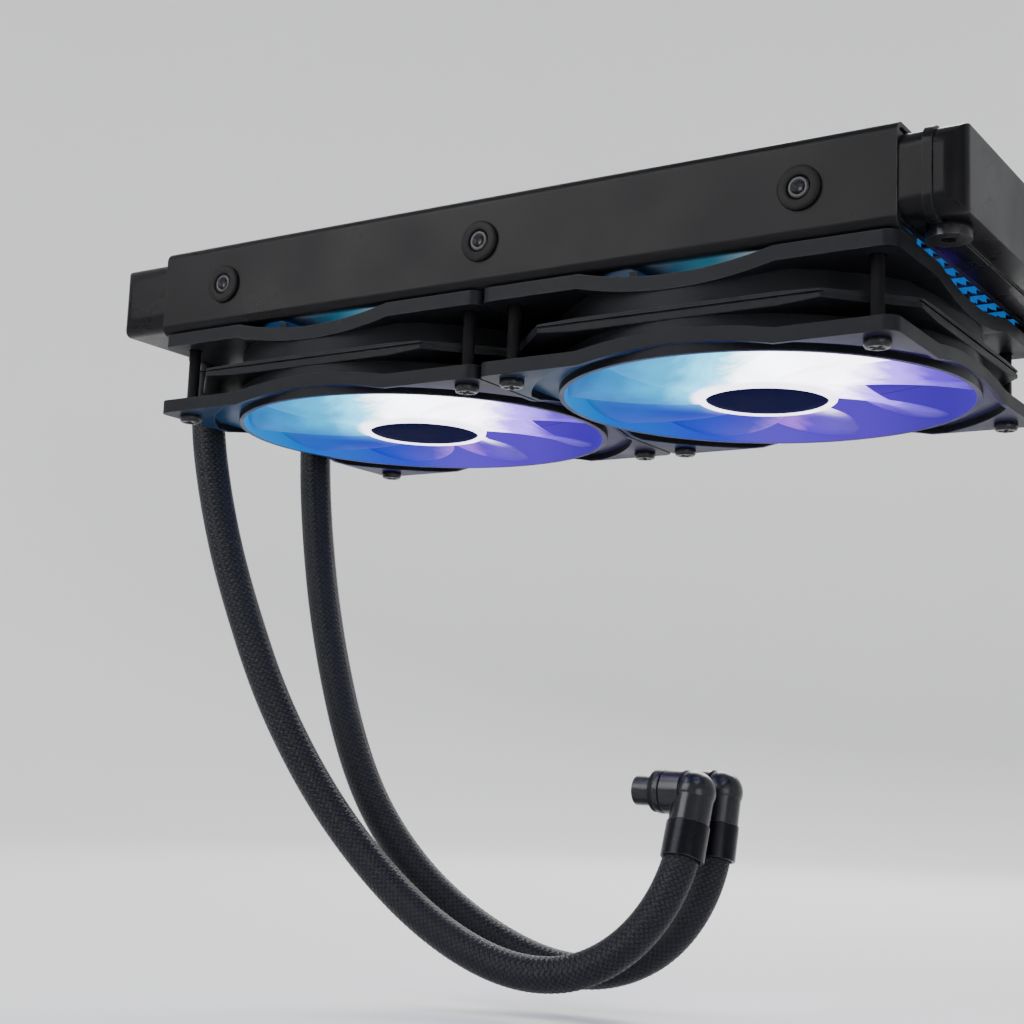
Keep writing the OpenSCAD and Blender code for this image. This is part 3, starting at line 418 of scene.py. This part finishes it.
def makeLitFrame(fan, look, glow):          # frame plastic with the blades' light painted as emission on its bore, its motor arms and its underside
    material = coated(fan + "FramePlastic", look)
    tree = material.node_tree
    shader = tree.nodes["Principled BSDF"]
    parts = splitAxes(tree, objectPlace(tree))
    x, y = calc(tree, "SUBTRACT", parts["X"], fans[fan]), parts["Y"]
    radius = planeRadius(tree, x, y)
    inside = mapped(tree, radius, (glow["edge"], glow["edge"] - glow["blur"]))
    deep = mapped(tree, parts["Z"], glow["depths"], kind="SMOOTHSTEP")
    ax, ay = bladeLook["across"]
    along = calc(tree, "MULTIPLY_ADD", x, ax, calc(tree, "MULTIPLY", y, ay))
    share = calc(tree, "MULTIPLY_ADD", calc(tree, "DIVIDE", along, bladeLook["reach"]), 0.5, 0.5)
    colour = ramp(tree, share, glow["stops"], "EASE")
    facing = splitAxes(tree, addNode(tree, "NewGeometry").outputs["Normal"])
    down = mapped(tree, facing["Z"], glow["facingDown"])
    low = mapped(tree, parts["Z"], glow["underside"])
    fade = mapped(tree, radius, (glow["far"], glow["edge"]), (0, glow["spill"]), kind="SMOOTHSTEP")
    under = calc(tree, "MULTIPLY", calc(tree, "MULTIPLY", down, low), fade)
    bore = calc(tree, "MULTIPLY", inside, deep)
    mask = calc(tree, "MAXIMUM", bore, under)
    tree.links.new(blendColours(tree, mask, (0, 0, 0), colour), shader.inputs["Emission Color"])
    shader.inputs["Emission Strength"].default_value = glow["strength"]
    return material


# painted glow: the blades' light as emission on the frames' bore and underside
boreGlow = {
    "strength": 0.8,
    "edge": 0.0578, "blur": 0.0002,         # what lies nearer the axis is lit
    "depths": (-0.026, -0.040),             # heights from unlit to fully lit
    "far": 0.085, "spill": 0.10,            # how far and how strongly light spills on the underside
    "underside": (-0.0455, -0.0485), "facingDown": (-0.5, -0.9),
    "stops": [(0.00, (0.000, 0.30, 0.95)), (0.20, (0.004, 0.16, 0.95)), (0.42, (0.03, 0.07, 0.95)),
              (0.60, (0.14, 0.06, 0.95)), (0.80, (0.13, 0.04, 0.85)), (1.00, (0.07, 0.02, 0.6))],
}

# glow: the fans' light painted on the fins' lower edges between these heights
finLook = {"dark": (0.010, 0.011, 0.013), "light": (0.030, 0.031, 0.034), "glow": (0.0, 0.24, 0.9),
           "heights": (-0.012, -0.0225), "strength": 0.55, "dust": 0.35, "gloss": (0.3, 0.5)}


def makeFinMaterial(look):                  # black fins with the fans' light painted on their lower edges as emission
    material, tree, shader = newMaterial("finSheet", Metallic=0.5, Emission_Strength=look["strength"])
    grain = useGroup(tree, "grain", Scale=1900, Mottle_Scale=140)
    dust = useGroup(tree, "dust", Amount=look["dust"])
    base = blendColours(tree, grain["Mottle"], look["dark"], look["light"])
    tree.links.new(blendColours(tree, dust["Dust"], base, dustColour), shader.inputs["Base Color"])
    height = splitAxes(tree, objectPlace(tree))["Z"]
    lit = mapped(tree, height, look["heights"], kind="SMOOTHSTEP")
    patch = calc(tree, "MULTIPLY", lit, calc(tree, "MULTIPLY_ADD", grain["Mottle"], 0.8, 0.5))
    tree.links.new(blendColours(tree, patch, (0, 0, 0), look["glow"]), shader.inputs["Emission Color"])
    tree.links.new(mapped(tree, grain["Mottle"], (0, 1), look["gloss"]), shader.inputs["Roughness"])
    addBump(tree, shader, grain["Height"], 0.15, 0.00002)
    return material


lampLook = {"glow": (0.75, 0.90, 1.0), "glowPale": (1, 1, 1), "body": (0.85, 0.84, 0.80),
            "bodyPale": (0.95, 0.94, 0.90), "strength": 3.0}


def makeLampMaterial(look):
    material, tree, shader = newMaterial("lampPackage", Emission_Strength=look["strength"])
    grain = useGroup(tree, "grain", Scale=2500, Mottle_Scale=900)
    for socket, colour, pale in (("Base Color", "body", "bodyPale"), ("Emission Color", "glow", "glowPale")):
        tree.links.new(blendColours(tree, grain["Mottle"], look[colour], look[pale]), shader.inputs[socket])
    addBump(tree, shader, grain["Height"], 0.1, 0.00002)
    return material


litFrames = {fan: makeLitFrame(fan, frameLook, boreGlow) for fan in fans}
sleeveBlack = makeSleeveMaterial(sleeveLook)
bladeGlow = {fan: makeBladeMaterial(fan + "LitBlade", bladeLook, bladeLook["lean"][fan]) for fan in fans}
finBlack = makeFinMaterial(finLook)
lampWhite = makeLampMaterial(lampLook)
print("materials made:", len(bpy.data.materials))


weldGap = 1e-6


def addPiece(name, points, faces, material, body, slot, centre=(0, 0, 0), uv=None, flat=False):
    mesh = bpy.data.meshes.new(name)
    mesh.from_pydata([tuple(p) for p in points], [], [tuple(f) for f in faces])
    if uv is not None:
        layer = mesh.uv_layers.new(name="UVMap")
        order = np.zeros(len(mesh.loops), np.int32)
        mesh.loops.foreach_get("vertex_index", order)
        layer.data.foreach_set("uv", np.asarray(uv, np.float32)[order].ravel())
    else:                                   # close seams and poles left by the turned shapes
        work = bmesh.new()
        work.from_mesh(mesh)
        bmesh.ops.remove_doubles(work, verts=work.verts, dist=weldGap)
        bmesh.ops.recalc_face_normals(work, faces=work.faces)
        work.to_mesh(mesh)
        work.free()
    mesh.polygons.foreach_set("use_smooth", [not flat] * len(mesh.polygons))
    mesh.materials.append(material)
    piece = bpy.data.objects.new(name, mesh)
    piece.location = centre
    bpy.context.scene.collection.objects.link(piece)
    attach(piece, body)
    return piece


def roundEdges(piece, width):               # rounds what turns by more than 38 degrees
    weld = piece.modifiers.new("weld", "WELD")
    weld.merge_threshold = weldGap
    bevel = piece.modifiers.new("bevel", "BEVEL")
    bevel.width, bevel.segments = width, 2
    bevel.limit_method, bevel.angle_limit = "ANGLE", math.radians(38)
    bevel.use_clamp_overlap = True
    bevel.miter_outer = "MITER_ARC"
    weighted = piece.modifiers.new("evenNormals", "WEIGHTED_NORMAL")
    weighted.keep_sharp = True


def hexOutline(angle):
    folded = (angle + math.pi / 6) % (math.pi / 3) - math.pi / 6
    return 1 / math.cos(folded)


def crossOutline(angle, arm=0.28):          # a plus-shaped recess, its arms 1 long
    folded = abs((angle + math.pi / 4) % (math.pi / 2) - math.pi / 4)
    return 1 / math.cos(folded) if math.tan(folded) < arm else arm / math.sin(folded)


def turned(profile, steps=48, spin=0.0):    # rows of (radius, height) or (radius, height, outline)
    points, faces = [], []
    for row in profile:
        radius, height = row[0] * mm, row[1] * mm
        for k in range(steps):
            angle = 2 * math.pi * k / steps
            reach = radius * (row[2](angle) if len(row) > 2 else 1)
            points.append((reach * math.cos(angle + spin), reach * math.sin(angle + spin), height))
    for i in range(len(profile) - 1):
        for k in range(steps):
            a, b = i * steps + k, i * steps + (k + 1) % steps
            faces.append((a, b, b + steps, a + steps))
    return np.array(points), faces


def joined(parts):                          # several (points, faces) as one
    points, faces, start = [], [], 0
    for somePoints, someFaces in parts:
        points.append(np.asarray(somePoints))
        faces += [tuple(start + i for i in f) for f in someFaces]
        start += len(somePoints)
    return np.vstack(points), faces


def placed(part, matrix):
    points, faces = part
    turn = np.array(matrix, float)
    return points @ turn[:3, :3].T + turn[:3, 3], faces


hoseSetup = {
    "diameter": 11 * mm,
    "coreSteps": 32,
    "strands": 18,                          # in each direction of the braid
    "coreRadius": 5.02 * mm,
    "strandRadius": 5.22 * mm,              # middle of the woven layer
    "weaveDepth": 0.16 * mm,
    "crown": 0.15 * mm,
    "strandWidth": 0.86,                    # share of the room a strand has
}
hoseRoutes = {
    "near": [
        (-129, -28, -32), (-129, -28, -45), (-127, -28, -58), (-123, -27, -76),
        (-118, -25, -95), (-112, -21, -115), (-106, -16, -135), (-98, -10, -154),
        (-88, -4, -172), (-76, 2, -188), (-61, 6, -202), (-43, 9, -213),
        (-24, 11, -219), (-5, 13, -218), (11, 15, -209), (21, 18, -196),
        (25, 22, -183), (25, 26, -172)],
    "far": [
        (-129, 28, -32), (-129, 28, -45), (-127, 27, -62), (-123, 26, -84),
        (-116, 23, -107), (-107, 20, -130), (-97, 17, -151), (-87, 16, -169),
        (-77, 19, -184), (-65, 24, -198), (-49, 30, -210), (-29, 35, -219),
        (-9, 38, -220), (9, 40, -212), (20, 41, -199), (25, 43, -185),
        (25, 46, -172)],
}


def smoothLine(route, spans=16):            # cubic spline led by the route's points, through its ends
    p = np.array(route, float) * mm
    p = np.vstack([2 * p[0] - p[1], p, 2 * p[-1] - p[-2]])
    line = []
    for i in range(len(p) - 3):
        for t in np.linspace(0, 1, spans, endpoint=False):
            pull = ((1 - t) ** 3, 3 * t ** 3 - 6 * t ** 2 + 4, -3 * t ** 3 + 3 * t ** 2 + 3 * t + 1, t ** 3)
            line.append(sum(w * q for w, q in zip(pull, p[i:i + 4])) / 6)
    line.append(p[-2])
    return np.array(line)


def evenLine(line, step):
    along = np.concatenate([[0], np.cumsum(np.linalg.norm(np.diff(line, axis=0), axis=1))])
    count = int(round(along[-1] / step))
    at = np.linspace(0, along[-1], count + 1)
    return np.stack([np.interp(at, along, line[:, k]) for k in range(3)], axis=1), along[-1]


def sideWays(line):                         # two directions across the line, turned as little as possible
    ahead = np.gradient(line, axis=0)
    ahead /= np.linalg.norm(ahead, axis=1)[:, None]
    side = np.zeros_like(line)
    side[0] = np.cross(ahead[0], (0, 1, 0))
    for i in range(len(line)):
        if i:
            side[i] = side[i - 1]
        side[i] -= side[i].dot(ahead[i]) * ahead[i]
        side[i] /= np.linalg.norm(side[i])
    return side, np.cross(ahead, side)


def braidedHose(name, route, setup):
    lay = math.pi * setup["diameter"]       # one turn of a strand along the hose, for 45 degrees
    line, length = evenLine(smoothLine(route), lay / setup["strands"] / 4)
    side, up = sideWays(line)
    s = np.linspace(0, length, len(line))
    n, points, faces, uv = len(line), [], [], []
    steps = setup["coreSteps"]
    for k in range(steps):                  # dark hose under the sleeve, black itself and given the sleeve's painted-shade tone by V of 0
        a = 2 * math.pi * k / steps
        points.append(line + setup["coreRadius"] * (math.cos(a) * side + math.sin(a) * up))
        uv.append(np.stack([np.full(n, 0.5), np.zeros(n)], axis=1))
    for k in range(steps):
        a, b = k * n, ((k + 1) % steps) * n
        faces += [(a + i, b + i, b + i + 1, a + i + 1) for i in range(n - 1)]
    count = setup["strands"]
    half = setup["strandWidth"] * math.pi / count
    for direction in (1, -1):
        height = direction * np.cos(2 * math.pi * count * s / lay) * setup["weaveDepth"]
        for k in range(count):
            start = len(points) * n
            for j, (offset, crown) in enumerate(((-half, 0.0), (0.0, setup["crown"]), (half, 0.0))):
                a = 2 * math.pi * k / count + direction * 2 * math.pi * s / lay + offset
                r = (setup["strandRadius"] + height + crown)[:, None]
                points.append(line + r * (np.cos(a)[:, None] * side + np.sin(a)[:, None] * up))
                # V: how high the strand lies, which the sleeve turns into painted light and shade
                over = 0.5 + height / setup["weaveDepth"] / 2
                uv.append(np.stack([np.full(n, j / 2), over], axis=1))
            for j in range(2):
                a, b = start + j * n, start + (j + 1) * n
                faces += [(a + i, b + i, b + i + 1, a + i + 1) for i in range(n - 1)]
    hose = addPiece(name + "HoseSleeved", np.vstack(points), faces, sleeveBlack, "radiator",
                    "hose_sleeve", uv=np.vstack(uv))
    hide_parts(name + "_hose")
    return hose, line, length


hoseFaces = {}
for name, route in hoseRoutes.items():
    hose, line, length = braidedHose(name, route, hoseSetup)
    hoseFaces[name] = len(hose.data.polygons)
print("hoses made:", hoseFaces)


finSetup = {
    "tubes": 11, "tubeThick": 2 * mm, "halfWidth": 53.8 * mm, "halfLength": 118.8 * mm,
    "low": -22.5 * mm, "high": -4.5 * mm, "pitch": 1.3 * mm,
    "louvres": 10, "tilt": 0.30 * mm,       # how far each slat's edges stand off the sheet
    "margin": 0.13,                         # share of a fin's width on each side of the slats
}


def finPanels(setup):                       # of one fin: shares of its width, heights and lean
    edge, low, high = setup["margin"], setup["low"], setup["high"]
    panels = [(0.0, edge, low, high, 0.0), (1 - edge, 1.0, low, high, 0.0)]
    slat = (high - low) / setup["louvres"]
    for i in range(setup["louvres"]):
        lean = setup["tilt"] * (1 if i < setup["louvres"] / 2 else -1)
        z = low + i * slat
        panels.append((edge, 1 - edge, z, z + slat, lean))
    return panels


def louvredFins(setup):
    strips = setup["tubes"] + 1
    wide = (2 * setup["halfWidth"] - setup["tubes"] * setup["tubeThick"]) / strips
    folds = int(2 * setup["halfLength"] / setup["pitch"])
    step = 2 * setup["halfLength"] / folds
    points, panels = [], finPanels(setup)
    for strip in range(strips):
        y = -setup["halfWidth"] + strip * (wide + setup["tubeThick"])
        for k in range(folds):              # every other fin runs back, so that they join in a zigzag
            x = -setup["halfLength"] + k * step + (step if k % 2 else 0)
            run = -step if k % 2 else step
            for start, end, low, high, lean in panels:
                xa, xb = x + run * start, x + run * end
                ya, yb = y + wide * start, y + wide * end
                points += [(xa - lean, ya, low), (xb - lean, yb, low)]
                points += [(xb + lean, yb, high), (xa + lean, ya, high)]
    return points, [tuple(range(i, i + 4)) for i in range(0, len(points), 4)]


finPoints, finFaces = louvredFins(finSetup)
fins = addPiece("louvredFins", finPoints, finFaces, finBlack, "radiator", "core_metal",
                uv=[(0, 0)] * len(finPoints), flat=True)
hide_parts("core_fins")
print("fins made:", len(finFaces), "faces")


bladeSetup = {
    "count": 9, "root": 19.0 * mm, "tip": 56.6 * mm, "rows": 22, "steps": 26,
    "spanRoot": 43.0, "spanTip": 42.0, "sweep": 26.0,
    "top": -33.8 * mm, "bottom": -51.2 * mm, "tipHeight": 0.85, "thick": 1.4 * mm,
    "bend": 1.9,                            # above 1, a blade lies flatter towards the inlet
    "edgeThin": 3.2, "tipThin": 0.2,        # how much thinner a blade is at its edges and its tip
    "hubSteps": 96,
}


def bladeMesh(setup):
    rows, steps = setup["rows"], setup["steps"]
    points, faces = [], []
    for up in (1, -1):
        for i in range(rows + 1):
            u = i / rows
            r = setup["root"] + (setup["tip"] - setup["root"]) * u
            for j in range(steps + 1):
                s = j / steps
                spread = setup["spanRoot"] + (setup["spanTip"] - setup["spanRoot"]) * u
                a = math.radians(setup["sweep"] * u + spread * (s - 0.5))
                h = (setup["top"] - setup["bottom"]) * (1 + (setup["tipHeight"] - 1) * u) - setup["thick"]
                t = setup["thick"] * (1 - setup["edgeThin"] * (s - 0.5) ** 2) * (1 - setup["tipThin"] * u)
                z = setup["bottom"] + setup["thick"] / 2 + h * s ** setup["bend"] + up * t / 2
                points.append((r * math.cos(a), r * math.sin(a), z))
    n = steps + 1
    half = n * (rows + 1)
    for i in range(rows):
        for j in range(steps):
            a = i * n + j
            faces.append((a, a + 1, a + n + 1, a + n))
            faces.append((half + a, half + a + n, half + a + n + 1, half + a + 1))
    for i in range(rows):
        for j, side in ((0, 1), (steps, -1)):
            a = i * n + j
            faces.append((a, a + n, half + a + n, half + a)[::side])
    for j in range(steps):
        for i, side in ((0, -1), (rows, 1)):
            a = i * n + j
            faces.append((a, a + 1, half + a + 1, half + a)[::side])
    return np.array(points), faces


hubProfile = [                              # (radius, height) of the impeller's hub, from inside the rim down
    (16.05, -33.4), (16.3, -33.2), (19.6, -33.2), (20.0, -33.6), (20.0, -50.4), (19.8, -51.3), (19.2, -51.85),
    (18.4, -52.0), (17.6, -51.95), (17.5, -51.8), (17.5, -51.05), (17.3, -51.0), (1.6, -51.0), (1.6, -49.6),
    (15.9, -49.6), (16.05, -49.4), (16.05, -33.4),
]
capProfile = [(0, -51.98), (5, -51.97), (9, -51.93), (13, -51.86), (15.9, -51.75), (16.8, -51.6),
              (17.3, -51.35), (17.45, -51.1), (17.45, -51.02), (0, -51.02)]


def addImpeller(fan, x):
    one = bladeMesh(bladeSetup)
    parts = [placed(one, Matrix.Rotation(2 * math.pi * k / bladeSetup["count"], 4, "Z"))
             for k in range(bladeSetup["count"])]
    parts.append(turned(hubProfile, bladeSetup["hubSteps"]))
    impeller = addPiece(fan + "Impeller", *joined(parts), bladeGlow[fan], fan + "_rotor", "blade_plastic",
                        centre=(x, 0, 0))
    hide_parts(fan + "_impeller")
    cap = addPiece(fan + "HubCap", *turned(capProfile, bladeSetup["hubSteps"]), capNavy, fan + "_rotor",
                   "cap_plastic", centre=(x, 0, 0))
    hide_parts(fan + "_hub_cap")


for fan, x in fans.items():
    addImpeller(fan, x)
print("impellers made")


screwSetup = {"span": 52.5 * mm, "bottom": -54.3, "top": -23.3, "threads": 9, "pitch": 0.79, "shank": 1.75}


def fanScrewProfile(setup):
    low = setup["bottom"]
    rows = [(0, low + 1.3), (0.5, low + 1.3), (1.0, low + 1.3, crossOutline), (1.9, low + 0.9, crossOutline),
            (2.15, low + 0.12, crossOutline), (2.7, low + 0.06), (3.0, low + 0.18), (3.3, low + 0.55),
            (3.48, low + 1.1), (3.5, low + 2.1), (3.4, low + 2.3), (setup["shank"], low + 2.3)]
    top = setup["top"]
    start = top - setup["threads"] * setup["pitch"]
    rows.append((setup["shank"], start))
    for k in range(setup["threads"]):
        z = start + k * setup["pitch"]
        rows += [(1.45, z + 0.2), (1.74, z + 0.48), (1.74, z + 0.56)]
    return rows + [(1.3, top), (0, top)]


fanCorners = ((-1, -1), (-1, 1), (1, -1), (1, 1))


def addFanScrews(setup):                    # each screw's recess is turned its own way
    parts = []
    for x in fans.values():
        for i, (sideX, sideY) in enumerate(fanCorners):
            place = Matrix.Translation((x + sideX * setup["span"], sideY * setup["span"], 0))
            parts.append(placed(turned(fanScrewProfile(setup), 40, spin=0.5 + i), place))
    return addPiece("fanScrews", *joined(parts), screwBlack, "radiator", "black_screw")


fanScrews = addFanScrews(screwSetup)
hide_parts("fan_screws")

railScrewProfile = [(0, 0.0), (1.5, 0.0, hexOutline), (1.55, -0.85, hexOutline), (2.0, -0.95), (2.5, -1.0),
                    (2.85, -0.85), (3.0, -0.5), (3.0, 0.4), (1.5, 0.4), (1.5, 6.6), (0, 6.6)]
grommetProfile = [(1.5, 0.35), (3.12, 0.35), (3.14, -0.9), (3.3, -1.15), (3.6, -1.2), (4.9, -1.2),
                  (5.4, -1.1), (5.7, -0.85), (5.8, -0.5), (5.8, 0.0), (4.2, 0.0), (4.2, 1.2),
                  (5.8, 1.2), (5.8, 4.6), (5.5, 4.95), (1.5, 4.95), (1.5, 0.35)]


railSetup = {"pitch": 95 * mm, "out": 60 * mm, "height": -13.5 * mm}


def onRails(part, setup):                   # one part at each rail screw's place, its axis into the rail
    copies = []
    for side in (-1, 1):
        turn = Matrix.Rotation(math.radians(90 * side), 4, "X")
        for k in (-1, 0, 1):
            place = Matrix.Translation((k * setup["pitch"], side * setup["out"], setup["height"]))
            copies.append(placed(part, place @ turn))
    return joined(copies)


railScrews = addPiece("railScrews", *onRails(turned(railScrewProfile, 36), railSetup), screwBlack,
                      "radiator", "black_screw")
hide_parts("rail_screws")
grommets = addPiece("railGrommets", *onRails(turned(grommetProfile, 48), railSetup), sealRubber,
                    "radiator", "seal_rubber")
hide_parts("rail_grommets")
print("screws made")


finishes = {
    "core_tubes": corePaint, "port_header": corePaint, "return_header": corePaint, "tank_divider": corePaint,
    "port_tank": tankPaint, "return_tank": tankPaint, "port_seals": sealRubber,
    "fill_plug": screwBlack, "fill_plug_seal": sealRubber,
}
sideFinishes = {
    "core_plate": corePaint, "side_rail": paint, "port": elbowPlastic, "hose_collar": collarBlack,
    "hose_ferrule": collarBlack, "elbow": elbowPlastic, "spigot": elbowPlastic, "spigot_seal": sealRubber,
}
fanFinishes = {
    "circuit_board": boardGreen, "lights": lampWhite, "stator_core": motorSteel, "coils": coilCopper,
    "bearing_sleeve": sleeveBronze, "shaft": motorSteel, "shaft_clip": nylonWhite, "rotor_yoke": motorSteel,
    "magnet_ring": magnetGrey, "lead_gland": sealRubber,
}
for side in hoseRoutes:
    finishes.update({f"{side}_{name}": material for name, material in sideFinishes.items()})
for fan in fans:
    finishes.update({f"{fan}_{name}": material for name, material in fanFinishes.items()})
    finishes.update({f"{fan}_{name}": litFrames[fan] for name in ("outlet_frame", "inlet_frame")})

edgeWidths = {                              # rounding of each kind of carried-over part's edges
    "tank": 0.4, "outlet_frame": 0.4, "inlet_frame": 0.4, "elbow": 0.5, "spigot": 0.3, "port": 0.3,
    "hose_ferrule": 0.35, "hose_collar": 0.35, "plug": 0.3,
}
for name, material in finishes.items():
    part = nodes[name]
    part.data.materials.clear()
    part.data.materials.append(material)
    kind = name.split("_", 1)[1]
    if kind in edgeWidths:
        roundEdges(part, edgeWidths[kind] * mm)
print("CAD parts finished:", len(finishes))


stageSetup = {
    "floor": -0.2318, "behind": 1.1, "rise": 0.5, "wall": 2.2, "bendSteps": 12,
    "tone": (0.86, 0.86, 0.865), "paleTone": (0.88, 0.88, 0.885),
}


def addStage(setup):                        # a pale floor that sweeps up all round, far behind
    rows = [(0.0, 0.0), (setup["behind"], 0.0)]
    for k in range(1, setup["bendSteps"] + 1):
        a = math.pi / 2 * k / setup["bendSteps"]
        rows.append((setup["behind"] + setup["rise"] * math.sin(a), setup["rise"] * (1 - math.cos(a))))
    rows.append((setup["behind"] + setup["rise"], setup["wall"]))
    points, faces = turned([(r / mm, z / mm) for r, z in rows], 96)
    mesh = bpy.data.meshes.new("paleFloor")
    mesh.from_pydata([tuple(p) for p in points], [], faces)
    mesh.polygons.foreach_set("use_smooth", [True] * len(mesh.polygons))
    floor = bpy.data.objects.new("paleFloor", mesh)
    floor.location = (0, 0, setup["floor"])
    bpy.context.scene.collection.objects.link(floor)
    material, tree, shader = newMaterial("paleStage", Roughness=0.6)
    grain = useGroup(tree, "grain", Scale=300, Mottle_Scale=4)
    pale = blendColours(tree, grain["Mottle"], setup["tone"], setup["paleTone"])
    tree.links.new(pale, shader.inputs["Base Color"])
    mesh.materials.append(material)


addStage(stageSetup)

lightSetup = {
    "sky": 0.6, "skyColour": (0.95, 0.97, 1.0, 1),
    "panels": {                             # place, target, size, power
        "keyPanel": ((-0.55, -1.0, 0.55), (0, 0, -0.03), 0.8, 14),
        "fillPanel": ((0.9, -0.7, -0.05), (0, 0, -0.08), 0.6, 4),
        "rimPanel": ((-0.2, 0.9, 0.6), (0, 0, -0.05), 0.7, 12),
    },
}


def addLights(setup):
    world = bpy.data.worlds.new("softRoom")
    bpy.context.scene.world = world
    world.use_nodes = True
    background = world.node_tree.nodes["Background"]
    background.inputs["Color"].default_value = setup["skyColour"]
    background.inputs["Strength"].default_value = setup["sky"]
    for name, (place, target, size, power) in setup["panels"].items():
        panel = bpy.data.lights.new(name, "AREA")
        panel.shape, panel.size, panel.energy = "SQUARE", size, power
        lamp = bpy.data.objects.new(name, panel)
        lamp.location = place
        lamp.rotation_euler = (Vector(target) - Vector(place)).to_track_quat("-Z", "Y").to_euler()
        bpy.context.scene.collection.objects.link(lamp)


addLights(lightSetup)
print("floor and lights made")
